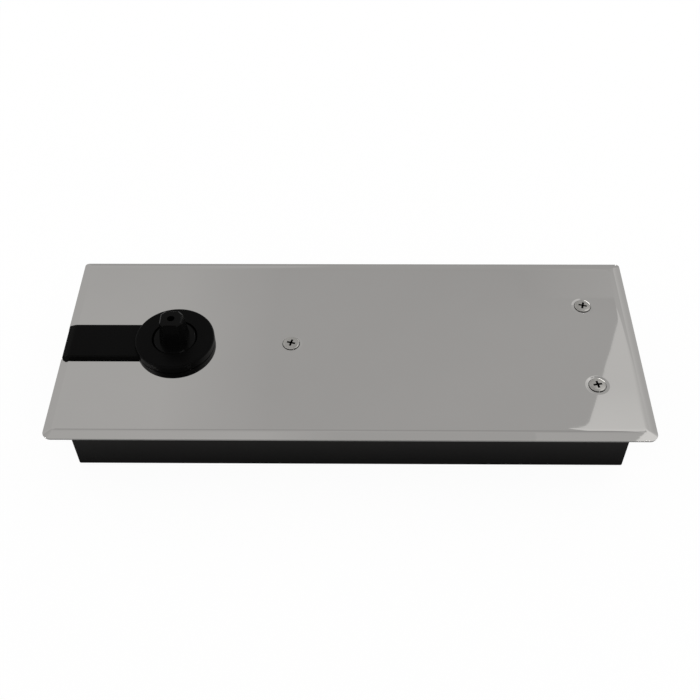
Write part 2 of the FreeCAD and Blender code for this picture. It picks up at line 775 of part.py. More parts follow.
def body_cutters():
    top = cover_under_z + past
    tools = [upright(chamber_r, chamber_floor_z, top, spindle_x),
             upright(lid_r + thread_gap, recess_floor_z, top, spindle_x),
             upright(bearing_shell_r, bearing_z, chamber_floor_z + past, spindle_x),
             upright(foot_journal_r + foot_gap, foot_recess_z, bearing_z + past, spindle_x),
             upright(ball_r + running_fit, ball_bottom_z, bearing_z, spindle_x),
             along_x(bore_r, bore_end_x, plug_in_x + past),
             along_x(plug_r, plug_in_x, body_right_x + past),
             cover_screw(*cover_screw_places[0], screw_fit),
             upright(filler_r, axis_z + bore_r - past, body_top_z + past, spindle_x + filler_from_spindle)]
    for x, y in lid_screw_places():
        tools.append(lid_screw(x, y, thread_gap))
    for x, side in ((closing_valve_x, 1), (latching_valve_x, -1)):
        tools.extend(valve_cutters(x, side * valve_y))
    for x in (left_ear_x, right_ear_x):
        for side in (-1, 1):
            tools.append(slotted_hole(x, side * clamp_y, clamp_screw_r + clamp_slot_gap, clamp_slot_length,
                                      ear_bottom_z - past, ear_top_z + past))
            tools.append(upright(level_screw_r, ear_bottom_z - past, ear_top_z + past, x, side * level_y))
    for x, y in side_screw_places():
        inward = y - side_screw_depth if y > 0 else y
        z = side_screw_z + body_bottom_z
        tools.append(along_y(side_screw_r, inward, inward + side_screw_depth, x, z))
    return tools


def valve_cutters(x, y):
    """Valve bore with its seat, the port to the cylinder and the channel to the cam chamber."""
    seat_z = body_top_z - valve_depth
    low_z = seat_z - valve_seat_depth
    chamber_side_x = spindle_x + math.sqrt(max(chamber_r ** 2 - valve_y ** 2, 0)) - past
    port_z = seat_z + valve_seat_r
    channel_z = max(low_z + oil_hole_r, chamber_floor_z + oil_hole_r)
    port_start = 0 if y > 0 else y
    return [upright(valve_r, seat_z, body_top_z + past, x, y),
            upright(valve_seat_r, low_z, seat_z + past, x, y),
            along_y(oil_hole_r, port_start, port_start + valve_y, x, port_z),
            along_x(oil_hole_r, chamber_side_x, x, y, channel_z)]


def make_valve(x, y):
    """Needle valve: a slotted head, a groove for its seal and a conical tip."""
    top = body_top_z - valve_sunk
    r = valve_r - thread_gap
    under_head = top - valve_head
    seat_z = body_top_z - valve_depth
    groove_r = valve_r - seal_ring_depth
    groove_z = top - valve_head / 2
    cone_z = seat_z + valve_lift
    tip_z = cone_z - (valve_neck_r - valve_tip_r)
    points = [(0, tip_z), (valve_tip_r, tip_z), (valve_neck_r, cone_z), (valve_neck_r, under_head),
              (r, under_head), (r, groove_z - seal_ring_width), (groove_r, groove_z - seal_ring_width),
              (groove_r, groove_z), (r, groove_z), (r, top), (0, top)]
    slot = block(x - valve_r, x + valve_r, y - valve_slot_width / 2, y + valve_slot_width / 2,
                 top - valve_slot_depth, top + past)
    return turned(points, x, y).cut(slot)


def make_valve_seal(x, y):
    groove_z = body_top_z - valve_sunk - valve_head / 2
    return ring(valve_r - seal_ring_depth + running_fit, valve_r - running_fit,
                groove_z - seal_ring_width + running_fit, groove_z - running_fit, x, y)


def make_filler_plug():
    x = spindle_x + filler_from_spindle
    shank = upright(filler_r - thread_gap, axis_z + bore_r + filler_tip_gap, body_top_z, x)
    head = upright(filler_head_r, body_top_z, body_top_z + filler_head, x)
    socket = hexagon(filler_hex_flats, V(x, 0, body_top_z), filler_head + past, V(0, 0, 1))
    return shank.fuse(head).removeSplitter().cut(socket)


def make_piston():
    """Piston with a fork for the roller, a seal groove and a check valve on its axis."""
    groove_x1 = piston_end_x - ring_from_end
    groove_x0 = groove_x1 - ring_width
    spigot_end_x = piston_end_x + piston_spigot_length
    points = [(fork_end_x, 0), (fork_end_x, piston_r), (groove_x0, piston_r),
              (groove_x0, piston_r - ring_depth), (groove_x1, piston_r - ring_depth), (groove_x1, piston_r),
              (piston_end_x, piston_r), (piston_end_x, piston_spigot_r), (spigot_end_x, piston_spigot_r),
              (spigot_end_x, 0)]
    piston = turned_on_axis(points)
    slot = block(fork_end_x - past, slot_end_x, -bore_r, bore_r,
                 cam_bottom_z - fork_side_gap, cam_top_z + fork_side_gap)
    piston = piston.cut(slot)
    piston = piston.cut(upright(roller_pin_r, 0, cover_top_z, roller_x))
    piston = piston.cut(along_x(oil_hole_r, slot_end_x - past, piston_end_x))
    return piston.cut(along_x(check_chamber_r, check_seat_x(), spigot_end_x + past))


def check_seat_x():
    """Where the ball's chamber starts, so that ball, lift and clip fit in the spigot's end."""
    length = 2 * check_ball_r + check_ball_lift + check_clip_length
    return piston_end_x + piston_spigot_length - length


def make_check_ball():
    into_seat = math.sqrt(check_ball_r ** 2 - oil_hole_r ** 2)
    return Part.makeSphere(check_ball_r, V(check_seat_x() + into_seat + thread_gap, 0, axis_z))


def make_check_clip():
    x1 = piston_end_x + piston_spigot_length
    clip = along_x(check_chamber_r, x1 - check_clip_length, x1)
    return clip.cut(along_x(check_clip_hole_r, x1 - check_clip_length - past, x1 + past))


def make_piston_ring():
    x1 = piston_end_x - ring_from_end - running_fit
    x0 = x1 - ring_width + 2 * running_fit
    inner = piston_r - ring_depth + running_fit
    return turned_on_axis([(x0, inner), (x0, piston_r), (x1, piston_r), (x1, inner)])


def make_roller():
    """Follower roller, with slightly broken edges."""
    inner = roller_pin_r + running_fit
    face_r = roller_r - roller_edge
    points = [(inner, cam_bottom_z), (face_r, cam_bottom_z), (roller_r, cam_bottom_z + roller_edge),
              (roller_r, cam_top_z - roller_edge), (face_r, cam_top_z), (inner, cam_top_z)]
    return turned(points, roller_x)


def make_roller_pin():
    half = math.sqrt(piston_r ** 2 - roller_pin_r ** 2) - pin_end_gap
    return upright(roller_pin_r, axis_z - half, axis_z + half, roller_x)


def make_spring():
    """Flat-wire compression spring with ground ends."""
    outer_r = bore_r - spring_side_gap
    middle_r = outer_r - spring_wire_across / 2
    pitch = spring_length / spring_turns
    length = spring_length + spring_wire_along
    path = Part.makeHelix(pitch, length, middle_r)
    inner_r = outer_r - spring_wire_across
    half_along = spring_wire_along / 2
    corners = [V(inner_r, 0, -half_along), V(outer_r, 0, -half_along), V(outer_r, 0, half_along),
               V(inner_r, 0, half_along)]
    section = Part.makePolygon(corners + corners[:1])
    coil = Part.Wire(path).makePipeShell([section], True, True)
    coil.translate(V(0, 0, -spring_wire_along / 2))
    coil = coil.common(upright(outer_r + past, 0, spring_length))
    coil.Placement = FreeCAD.Placement(V(piston_end_x, 0, axis_z), FreeCAD.Rotation(V(0, 1, 0), 90))
    return coil


def make_spring_plate():
    """Nut that carries the spring's far end; the adjusting screw moves it along."""
    guide_x = spring_end_x - piston_spigot_length
    hole_r = adjuster_r + thread_gap
    plate_r = bore_r - spring_plate_gap
    points = [(guide_x, hole_r), (guide_x, piston_spigot_r), (spring_end_x, piston_spigot_r),
              (spring_end_x, plate_r), (spring_plate_end_x, plate_r), (spring_plate_end_x, hole_r)]
    return turned_on_axis(points)


def make_adjusting_screw():
    start_x = spring_end_x - piston_spigot_length - adjuster_reach
    groove_x0 = (plug_in_x + body_right_x) / 2
    groove_x1 = groove_x0 + seal_ring_width
    groove_r = adjuster_r - seal_ring_depth
    points = [(start_x, 0), (start_x, adjuster_r), (collar_start_x, adjuster_r),
              (collar_start_x, adjuster_collar_r), (plug_in_x - running_fit, adjuster_collar_r),
              (plug_in_x - running_fit, adjuster_r), (groove_x0, adjuster_r), (groove_x0, groove_r),
              (groove_x1, groove_r), (groove_x1, adjuster_r), (adjuster_end_x(), adjuster_r),
              (adjuster_end_x(), 0)]
    screw = turned_on_axis(points)
    drive = hexagon(adjuster_hex_flats, V(adjuster_end_x(), 0, axis_z), adjuster_hex_length, V(1, 0, 0))
    return screw.fuse(drive).removeSplitter()


def adjuster_end_x():
    return body_right_x + plug_washer_thickness + plug_hex_length


def make_adjuster_seal():
    x0 = (plug_in_x + body_right_x) / 2 + running_fit
    x1 = x0 + seal_ring_width - 2 * running_fit
    inner = adjuster_r - seal_ring_depth + running_fit
    return turned_on_axis([(x0, inner), (x0, adjuster_r), (x1, adjuster_r), (x1, inner)])


def make_end_plug():
    """Threaded plug with a hexagon head, bored for the adjusting screw."""
    washer_x = body_right_x + plug_washer_thickness
    plug = along_x(plug_r - thread_gap, plug_in_x, washer_x)
    head = hexagon(plug_hex_flats, V(washer_x, 0, axis_z), plug_hex_length, V(1, 0, 0))
    plug = plug.fuse(head).removeSplitter()
    return plug.cut(along_x(adjuster_r + running_fit, plug_in_x - past, adjuster_end_x() + past))


def make_plug_washer():
    x0 = body_right_x
    x1 = x0 + plug_washer_thickness
    return turned_on_axis([(x0, plug_r), (x0, plug_washer_r), (x1, plug_washer_r), (x1, plug_r)])


def ear_places(y):
    places = []
    for x in (left_ear_x, right_ear_x):
        for side in (-1, 1):
            places.append((x, side * y))
    return places


def make_box_studs():
    """Threaded studs on the floor of the box, under the ears."""
    studs = []
    for x, y in ear_places(clamp_y):
        top = ear_bottom_z - stud_top_gap
        studs.append(ring(clamp_screw_r + thread_gap, stud_r, box_sheet, top, x, y))
    return Part.makeCompound(studs)


def make_clamp_screws():
    screws = []
    for x, y in ear_places(clamp_y):
        under_head = ear_top_z + clamp_washer
        shank = upright(clamp_screw_r, box_sheet + screw_tip_gap, under_head, x, y)
        head = upright(clamp_head_r, under_head, under_head + clamp_head, x, y)
        socket = hexagon(clamp_hex_flats, V(x, y, under_head + clamp_head / 2), clamp_head, V(0, 0, 1))
        screws.append(shank.fuse(head).removeSplitter().cut(socket))
    return Part.makeCompound(screws)


def make_clamp_washers():
    washers = []
    for x, y in ear_places(clamp_y):
        top = ear_top_z + clamp_washer
        washers.append(ring(clamp_screw_r + thread_gap, clamp_washer_r, ear_top_z, top, x, y))
    return Part.makeCompound(washers)


def make_level_screws():
    screws = []
    for x, y in ear_places(level_y):
        top = ear_top_z + level_screw_top
        screw = upright(level_screw_r - thread_gap, box_sheet, top, x, y)
        slot = block(x - level_screw_r, x + level_screw_r, y - level_slot / 2, y + level_slot / 2,
                     top - level_slot, top + past)
        screws.append(screw.cut(slot))
    return Part.makeCompound(screws)


def side_screw_places():
    """Where the side screws leave the casting: near the spindle and at the far end."""
    places = []
    for side in (-1, 1):
        places.append((spindle_x - left_side_screw_x, side * head_width / 2))
        places.append((body_right_x - end_flange_length / 2, side * end_flange_width / 2))
    return places


def make_side_screws():
    screws = []
    for x, y in side_screw_places():
        z = side_screw_z + body_bottom_z
        start = abs(y) - side_screw_depth + screw_tip_gap
        screw = along_y(side_screw_r - thread_gap, start, inner_half_y, x, z)
        if y < 0:
            screw = screw.mirror(V(0, 0, 0), V(0, 1, 0))
        screws.append(screw)
    return Part.makeCompound(screws)


def make_side_nuts():
    nuts = []
    for x, y in side_screw_places():
        z = side_screw_z + body_bottom_z
        nut = hexagon(side_nut_flats, V(x, abs(y), z), side_nut, V(0, 1, 0))
        nut = nut.cut(along_y(side_screw_r, 0, inner_half_y, x, z))
        if y < 0:
            nut = nut.mirror(V(0, 0, 0), V(0, 1, 0))
        nuts.append(nut)
    return Part.makeCompound(nuts)


nodes = {
    "cover_plate": make_cover_plate(),
    "cover_screws": make_cover_screws(),
    "slot_cover": make_slot_cover(),
    "spindle_collar": make_spindle_collar(),
    "cement_box": make_cement_box(),
    "cover_posts": make_cover_posts(),
    "box_studs": make_box_studs(),
    "closer_body": make_closer_body(),
    "clamp_screws": make_clamp_screws(),
    "clamp_washers": make_clamp_washers(),
    "level_screws": make_level_screws(),
    "side_screws": make_side_screws(),
    "side_nuts": make_side_nuts(),
    "bearing_cover": make_bearing_cover(),
    "bearing_cover_gasket": make_lid_gasket(),
    "bearing_cover_screws": make_lid_screws(),
    "upper_bush": make_upper_bush(),
    "spindle_seal": make_spindle_seal(),
    "lower_bearing_shell": make_bearing_shell(),
    "lower_bearing_rollers": make_bearing_rollers(),
    "thrust_ball": make_thrust_ball(),
    "spindle": make_spindle(),
    "cam": make_cam(),
    "cam_key": key_block(),
    "cam_circlip": make_circlip(),
    "piston": make_piston(),
    "piston_ring": make_piston_ring(),
    "roller_pin": make_roller_pin(),
    "follower_roller": make_roller(),
    "check_ball": make_check_ball(),
    "check_ball_clip": make_check_clip(),
    "main_spring": make_spring(),
    "spring_plate": make_spring_plate(),
    "adjusting_screw": make_adjusting_screw(),
    "adjusting_screw_seal": make_adjuster_seal(),
    "end_plug": make_end_plug(),
    "end_plug_washer": make_plug_washer(),
    "closing_valve": make_valve(closing_valve_x, valve_y),
    "closing_valve_seal": make_valve_seal(closing_valve_x, valve_y),
    "latching_valve": make_valve(latching_valve_x, -valve_y),
    "latching_valve_seal": make_valve_seal(latching_valve_x, -valve_y),
    "filler_plug": make_filler_plug(),
}

os.makedirs("parts", exist_ok=True)
for name, shape in nodes.items():
    shape.exportStep(os.path.join("parts", name + ".step"))
    print(f"{name:22s} solids {len(shape.Solids):2d}  volume {shape.Volume:10.1f}  valid {shape.isValid()}")
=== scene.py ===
# %% [markdown]
# This notebook dresses a floor spring door closer for a studio picture.
# The closer is a black steel box that is let into the floor, a polished cover plate,
# a black strip and collar round the spindle, and the tapered spindle that carries the door.
# The frame holds every real piece at its real size. Here each visible piece gets its
# finish, and the ones that need softer forms than the frame gives are modelled again.

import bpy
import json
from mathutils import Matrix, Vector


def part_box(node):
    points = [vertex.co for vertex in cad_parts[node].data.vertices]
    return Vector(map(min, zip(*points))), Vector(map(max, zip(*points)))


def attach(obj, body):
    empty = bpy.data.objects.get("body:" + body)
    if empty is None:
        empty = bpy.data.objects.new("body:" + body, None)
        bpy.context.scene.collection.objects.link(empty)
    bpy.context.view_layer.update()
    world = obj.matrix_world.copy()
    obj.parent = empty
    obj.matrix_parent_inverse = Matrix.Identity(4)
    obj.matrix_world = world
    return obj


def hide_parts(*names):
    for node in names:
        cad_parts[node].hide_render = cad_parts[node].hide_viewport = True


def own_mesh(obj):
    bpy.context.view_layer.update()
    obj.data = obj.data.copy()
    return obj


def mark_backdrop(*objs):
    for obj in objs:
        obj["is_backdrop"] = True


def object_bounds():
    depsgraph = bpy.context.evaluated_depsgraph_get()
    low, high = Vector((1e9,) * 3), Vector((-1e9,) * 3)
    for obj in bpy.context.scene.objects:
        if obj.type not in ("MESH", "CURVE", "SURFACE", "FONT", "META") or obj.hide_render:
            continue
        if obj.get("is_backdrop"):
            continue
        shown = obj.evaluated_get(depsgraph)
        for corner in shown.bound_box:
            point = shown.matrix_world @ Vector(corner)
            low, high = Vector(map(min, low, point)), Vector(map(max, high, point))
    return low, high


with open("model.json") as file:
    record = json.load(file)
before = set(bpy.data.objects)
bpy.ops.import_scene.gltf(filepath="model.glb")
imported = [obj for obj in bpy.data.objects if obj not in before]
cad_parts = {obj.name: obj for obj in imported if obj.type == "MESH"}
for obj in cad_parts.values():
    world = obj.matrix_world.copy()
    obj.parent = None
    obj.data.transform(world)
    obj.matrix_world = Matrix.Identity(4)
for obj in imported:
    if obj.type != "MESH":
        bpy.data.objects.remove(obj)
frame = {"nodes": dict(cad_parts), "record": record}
frame_low, frame_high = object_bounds()
print("frame box in mm", [round(v * 1000, 1) for v in (*frame_low, *frame_high)])

# %% [markdown]
# Everything below is in metres, so one millimetre gets a name of its own.
# Places could be typed in, but then they would drift away from the real pieces.
# They are read from the frame instead: the cover's top face, the spindle's centre
# line and the screws are the anchors that the modelled pieces share.

# %% Shared measures
import json
import math

import bmesh
import bpy
from mathutils import Matrix, Vector
from mathutils.geometry import tessellate_polygon

MM = 0.001
cover_low, cover_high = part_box("cover_plate")
collar_low, collar_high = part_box("spindle_collar")
spindle_low, spindle_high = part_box("spindle")
screws_low, screws_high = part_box("cover_screws")
cover_top = cover_high.z
spindle_x = (collar_low.x + collar_high.x) / 2
screw_head_r = 4.65 * MM
screw_places = [(screws_low.x + screw_head_r, 0.0)]
for side in (-1, 1):
    screw_places.append((screws_high.x - screw_head_r, side * (screws_high.y - screw_head_r)))
print("cover top", round(cover_top, 4), "spindle at x", round(spindle_x, 4))
print("spindle from", round(spindle_low.z, 4), "to", round(spindle_high.z, 4))

# %% [markdown]
# The camera comes first, because it decides how much detail each piece deserves.
# It looks down at the plate by about 49 degrees through a 52 mm lens, with a very
# small turn and roll, as a hand-held product shot has. Building its matrix from
# angles keeps the numbers readable, where a pasted matrix would say nothing.

# %% Camera
camera_place = Vector((7.4, -378.0, 470.3)) * MM
camera_down = math.radians(49.056)
camera_turn = math.radians(-1.151)
camera_roll = math.radians(-0.701)
camera_lens = 52.02
camera_sensor = 36.0
nearest_seen = 0.01


def aimed_matrix(place, down, turn, roll):
    """World matrix of a camera at a place that looks along +Y, then turned, tipped and rolled."""
    ahead = Vector((math.sin(turn) * math.cos(down), math.cos(turn) * math.cos(down), -math.sin(down)))
    level = Vector((math.cos(turn), -math.sin(turn), 0))
    above = level.cross(ahead)
    right = level * math.cos(roll) + above * math.sin(roll)
    up = above * math.cos(roll) - level * math.sin(roll)
    matrix = Matrix((right, up, -ahead)).transposed().to_4x4()
    matrix.translation = place
    return matrix


camera_data = bpy.data.cameras.new("camera")
camera_data.lens = camera_lens
camera_data.sensor_width = camera_sensor
camera_data.clip_start = nearest_seen
camera = bpy.data.objects.new("camera", camera_data)
bpy.context.scene.collection.objects.link(camera)
camera.matrix_world = aimed_matrix(camera_place, camera_down, camera_turn, camera_roll)
bpy.context.scene.camera = camera
bpy.context.scene.view_settings.view_transform = "Standard"
print("camera at", [round(v, 3) for v in camera_place])

# %% [markdown]
# Materials are node trees, and writing trees out link by link is long.
# Small helpers keep each finish short: one adds a node and sets its sockets, one
# joins two sockets, one adds a mix of two colours, and one opens a group with named
# inputs and outputs. A group's sockets are made through its interface.

# %% Helpers for node trees
def add_node(tree, kind, values=(), **settings):
    """Adds a node, sets its properties by name and its input sockets from (socket, value) pairs."""
    node = tree.nodes.new(kind)
    for key, value in settings.items():
        setattr(node, key, value)
    for socket, value in values:
        node.inputs[socket].default_value = value
    return node


def join(tree, *pairs):
    """Links each output to its socket."""
    for output, socket in pairs:
        tree.links.new(output, socket)


def add_mix(tree, **settings):
    """A mix of two colours; returns its factor, its two colour sockets and its result."""
    node = add_node(tree, "ShaderNodeMix", data_type="RGBA", **settings)
    first, second = [s for s in node.inputs if s.type == "RGBA"]
    result = [s for s in node.outputs if s.type == "RGBA"][0]
    return node.inputs[0], first, second, result


def open_group(name, inputs, outputs):
    """A node group with float inputs (name, default) and outputs (name), and its two ends."""
    group = bpy.data.node_groups.new(name, "ShaderNodeTree")
    for title, default in inputs:
        socket = group.interface.new_socket(title, in_out="INPUT", socket_type="NodeSocketFloat")
        socket.default_value = default
    for title in outputs:
        group.interface.new_socket(title, in_out="OUTPUT", socket_type="NodeSocketFloat")
    return group, group.nodes.new("NodeGroupInput"), group.nodes.new("NodeGroupOutput")


print("helpers", [helper.__name__ for helper in (add_node, join, add_mix, open_group)])

# %% [markdown]
# Nothing real has one even tone: polish, oil and dust lie in soft clouds.
# Clouds could be painted on an image, but an image has to be wrapped round each
# piece. A noise in the piece's own space needs no wrapping, and as a group it serves
# every finish with a size and a contrast of its own. It gives values from 0 to 1.

# %% Group for mottle
middle = 0.5


def make_mottle():
    """Soft clouds: the contrast pulls the noise away from its middle or towards it."""
    group, ends_in, ends_out = open_group("mottle", [("Scale", 20.0), ("Contrast", 1.0)], ["Value"])
    place = add_node(group, "ShaderNodeTexCoord")
    noise = add_node(group, "ShaderNodeTexNoise", [("Detail", 3.0), ("Roughness", 0.55)])
    spread = add_node(group, "ShaderNodeMath", [(1, -middle)], operation="ADD")
    gain = add_node(group, "ShaderNodeMath", operation="MULTIPLY")
    back = add_node(group, "ShaderNodeMath", [(1, middle)], operation="ADD", use_clamp=True)
    join(group,
         (place.outputs["Object"], noise.inputs["Vector"]),
         (ends_in.outputs["Scale"], noise.inputs["Scale"]),
         (noise.outputs[0], spread.inputs[0]), (spread.outputs[0], gain.inputs[0]),
         (ends_in.outputs["Contrast"], gain.inputs[1]), (gain.outputs[0], back.inputs[0]),
         (back.outputs[0], ends_out.inputs["Value"]))
    return group


mottle = make_mottle()
print("group", mottle.name)

# %% [markdown]
# Cast, brushed and moulded skins have a fine roughness that a finger can feel.
# Real bumps of that size would need millions of faces, so it stays a noise that a
# bump node reads. Stretched along X it becomes the fine lines of a brushed sheet.

# %% Group for grain
def make_grain():
    """A fine height field that can be drawn out along X."""
    group, ends_in, ends_out = open_group("grain", [("Scale", 800.0), ("Stretch", 1.0)], ["Height"])
    place = add_node(group, "ShaderNodeTexCoord")
    parts = add_node(group, "ShaderNodeSeparateXYZ")
    shrink = add_node(group, "ShaderNodeMath", operation="DIVIDE")
    whole = add_node(group, "ShaderNodeCombineXYZ")
    noise = add_node(group, "ShaderNodeTexNoise", [("Detail", 4.0), ("Roughness", 0.6)])
    join(group,
         (place.outputs["Object"], parts.inputs[0]), (parts.outputs[0], shrink.inputs[0]),
         (ends_in.outputs["Stretch"], shrink.inputs[1]), (shrink.outputs[0], whole.inputs[0]),
         (parts.outputs[1], whole.inputs[1]), (parts.outputs[2], whole.inputs[2]),
         (whole.outputs[0], noise.inputs["Vector"]), (ends_in.outputs["Scale"], noise.inputs["Scale"]),
         (noise.outputs[0], ends_out.inputs["Height"]))
    return group


grain = make_grain()
print("group", grain.name)

# %% [markdown]
# Paint and plastic are rubbed first where hands and tools touch them: at the edges. On the black
# plastic and the black spindle the lighter edge is also a painted highlight, standing for the glint of
# light along round edges. Edges could be marked by hand. The rounded normal of a bevel node finds them
# on any piece instead, because it leaves the flat normal only there, and a noise breaks the line up, so
# that the edge looks rubbed and not drawn.

# %% Group for edge wear
wear_and_sheen_gain = 9.0
wear_and_sheen_noise_scale = 420.0


def make_edge_wear_and_sheen():
    """A mask that is 1 on edges, for rubbed wear and painted highlight, and 0 elsewhere."""
    group, ends_in, ends_out = open_group("edge wear and sheen", [("Radius", 0.0004), ("Amount", 1.0)], ["Mask"])
    soft = add_node(group, "ShaderNodeBevel", samples=6)
    sharp = add_node(group, "ShaderNodeNewGeometry")
    compare = add_node(group, "ShaderNodeVectorMath", operation="DOT_PRODUCT")
    turn = add_node(group, "ShaderNodeMath", [(0, 1.0)], operation="SUBTRACT")
    gain = add_node(group, "ShaderNodeMath", [(1, wear_and_sheen_gain)], operation="MULTIPLY")
    place = add_node(group, "ShaderNodeTexCoord")
    noise = add_node(group, "ShaderNodeTexNoise", [("Scale", wear_and_sheen_noise_scale), ("Detail", 3.0)])
    wear_and_sheen_speckle = add_node(group, "ShaderNodeMath", operation="MULTIPLY")
    level = add_node(group, "ShaderNodeMath", operation="MULTIPLY", use_clamp=True)
    join(group,
         (ends_in.outputs["Radius"], soft.inputs["Radius"]), (soft.outputs[0], compare.inputs[0]),
         (sharp.outputs["Normal"], compare.inputs[1]), (compare.outputs["Value"], turn.inputs[1]),
         (turn.outputs[0], gain.inputs[0]), (place.outputs["Object"], noise.inputs["Vector"]),
         (gain.outputs[0], wear_and_sheen_speckle.inputs[0]), (noise.outputs[0], wear_and_sheen_speckle.inputs[1]),
         (wear_and_sheen_speckle.outputs[0], level.inputs[0]), (ends_in.outputs["Amount"], level.inputs[1]),
         (level.outputs[0], ends_out.inputs["Mask"]))
    return group


edge_wear_and_sheen = make_edge_wear_and_sheen()
print("group", edge_wear_and_sheen.name)

# %% [markdown]
# Three small tools come before the recipe: one puts a group into a material with
# values of its own, one opens a new material, and one makes a tone darker or lighter.
# They could be written out in every finish, but a slip would hide there.

# %% Small tools for materials
def place_group(tree, group, **values):
    """A group in a material's tree, with its own values for the named inputs."""
    node = tree.nodes.new("ShaderNodeGroup")
    node.node_tree = group
    for key, value in values.items():
        node.inputs[key.capitalize()].default_value = value
    return node


def new_material(name):
    """A material with its tree and its shader."""
    material = bpy.data.materials.new(name)
    material.use_nodes = True
    return material, material.node_tree, material.node_tree.nodes["Principled BSDF"]


def tone(colour, gain):
    return tuple(min(c * gain, 1.0) for c in colour) + (1.0,)


print("a tone and its lighter one", tone((0.5, 0.5, 0.5), 1.0), tone((0.5, 0.5, 0.5), 1.2))

# %% [markdown]
# Most finishes follow one recipe, so one function writes them all.
# Colour drifts between a darker and a lighter tone with the mottle, edges show a third tone, for rubbed
# wear and on the black pieces also a painted highlight, roughness drifts too, and the grain lifts the
# surface a little.
# What stays the same all over, such as metal or not, is set on the shader itself.

# %% One recipe for most finishes
cloud_contrast = 1.6


def make_finish(name, colour, metallic, rough, drift=0.12, cloud=45.0, grain_scale=900.0,
                stretch=1.0, lift=0.02, wear_and_sheen_tone=None, wear_and_sheen_radius=0.4, specular=0.5):
    """A finish from plain values: drift is how far tone and roughness wander, lift is in mm."""
    material, tree, shader = new_material(name)
    shader.inputs["Metallic"].default_value = metallic
    shader.inputs["Specular IOR Level"].default_value = specular
    clouds = place_group(tree, mottle, scale=cloud, contrast=cloud_contrast)
    factor, darker, lighter, base = add_mix(tree)
    darker.default_value = tone(colour, 1 - drift)
    lighter.default_value = tone(colour, 1 + drift)
    join(tree, (clouds.outputs["Value"], factor))
    # The edge tone is rubbed wear, and on the black plastic and the spindle also a painted highlight
    # along the edges.
    if wear_and_sheen_tone:
        wear = place_group(tree, edge_wear_and_sheen, radius=wear_and_sheen_radius * MM, amount=1.0)
        wear_and_sheen_share, under, over, layered = add_mix(tree)
        over.default_value = wear_and_sheen_tone + (1.0,)
        join(tree, (wear.outputs["Mask"], wear_and_sheen_share), (base, under))
        base = layered
    spread = add_node(tree, "ShaderNodeMapRange",
                      [("To Min", rough * (1 - drift)), ("To Max", rough * (1 + drift))])
    fine = place_group(tree, grain, scale=grain_scale, stretch=stretch)
    bump = add_node(tree, "ShaderNodeBump", [("Strength", 1.0), ("Distance", lift * MM)])
    join(tree,
         (base, shader.inputs["Base Color"]), (clouds.outputs["Value"], spread.inputs["Value"]),
         (spread.outputs[0], shader.inputs["Roughness"]),
         (fine.outputs["Height"], bump.inputs["Height"]), (bump.outputs[0], shader.inputs["Normal"]))
    return material


print("recipe", make_finish.__name__)

# %% [markdown]
# The cover is mirror-polished stainless steel. A perfect mirror looks like glass
# in a render, so the polish is left slightly uneven: very long, shallow waves that
# bend a reflection, fine polishing lines along the plate, and a thin haze.
# The waves are a bump and not geometry, because they are only microns deep.

# %% Polished stainless steel
steel_dark = (0.612, 0.604, 0.594, 1.0)
steel_light = (0.634, 0.626, 0.616, 1.0)
wave_depth = 0.05 * MM
line_depth = 0.0004 * MM


def make_polished_steel():
    """A mirror with waves, polishing lines and a haze."""
    material, tree, shader = new_material("polished_stainless")
    shader.inputs["Metallic"].default_value = 1.0
    clouds = place_group(tree, mottle, scale=14.0, contrast=1.3)
    factor, darker, lighter, base = add_mix(tree)
    darker.default_value = steel_dark
    lighter.default_value = steel_light
    lines = place_group(tree, grain, scale=900.0, stretch=60.0)
    haze = add_node(tree, "ShaderNodeMapRange", [("To Min", 0.012), ("To Max", 0.036)])
    waves = place_group(tree, mottle, scale=9.0, contrast=1.0)
    wave_bump = add_node(tree, "ShaderNodeBump", [("Strength", 1.0), ("Distance", wave_depth)])
    line_bump = add_node(tree, "ShaderNodeBump", [("Strength", 1.0), ("Distance", line_depth)])
    join(tree,
         (clouds.outputs["Value"], factor), (base, shader.inputs["Base Color"]),
         (lines.outputs["Height"], haze.inputs["Value"]), (haze.outputs[0], shader.inputs["Roughness"]),
         (waves.outputs["Value"], wave_bump.inputs["Height"]),
         (lines.outputs["Height"], line_bump.inputs["Height"]),
         (wave_bump.outputs[0], line_bump.inputs["Normal"]),
         (line_bump.outputs[0], shader.inputs["Normal"]))
    return material


polished_steel = make_polished_steel()
print("finish", polished_steel.name)

# %% [markdown]
# The box is painted near-black. In the photograph its side is a little greyer under the cover and
# darkest at the floor. That change is light and shade, and here it is painted into the colour: a gain
# grows with the height, a painted shade at the floor and a painted light under the cover. One could
# light that with a small lamp, but a lamp would also reach the mirror above it.

# %% Black paint
paint_tone = (0.0082, 0.0080, 0.0079)
painted_shade_gain_low = 0.3
painted_light_gain_high = 5.6


def make_black_paint():
    """The common recipe, with painted shade and light: a gain on its colour that grows from the floor
    to the cover.
    """
    material = make_finish("black_paint", paint_tone, 0.0, 0.5, cloud=25.0,
                           grain_scale=700.0, lift=0.01, specular=0.015)
    tree = material.node_tree
    shader = tree.nodes["Principled BSDF"]
    plain = shader.inputs["Base Color"].links[0].from_socket
    place = add_node(tree, "ShaderNodeTexCoord")
    parts = add_node(tree, "ShaderNodeSeparateXYZ")
    # Painted shade and light: the colour is multiplied by a gain that is low at the floor and high
    # under the cover.
    height = add_node(tree, "ShaderNodeMapRange",
                      [("From Min", 0.0), ("From Max", cover_top),
                       ("To Min", painted_shade_gain_low), ("To Max", painted_light_gain_high)])
    factor, first, second, shaded = add_mix(tree, blend_type="MULTIPLY")
    factor.default_value = 1.0
    join(tree,
         (place.outputs["Object"], parts.inputs[0]), (parts.outputs[2], height.inputs["Value"]),
         (plain, first), (height.outputs[0], second), (shaded, shader.inputs["Base Color"]))
    return material


black_paint = make_black_paint()
print("finish", black_paint.name)

# %% [markdown]
# The other finishes are one call each. Black parts of this closer are very dark,
# so their colour is near black and most of what shows is their sheen.
# Hidden pieces could share one grey, but the part may be taken apart, so they get
# true finishes as well. The keys are the slots that the record names.

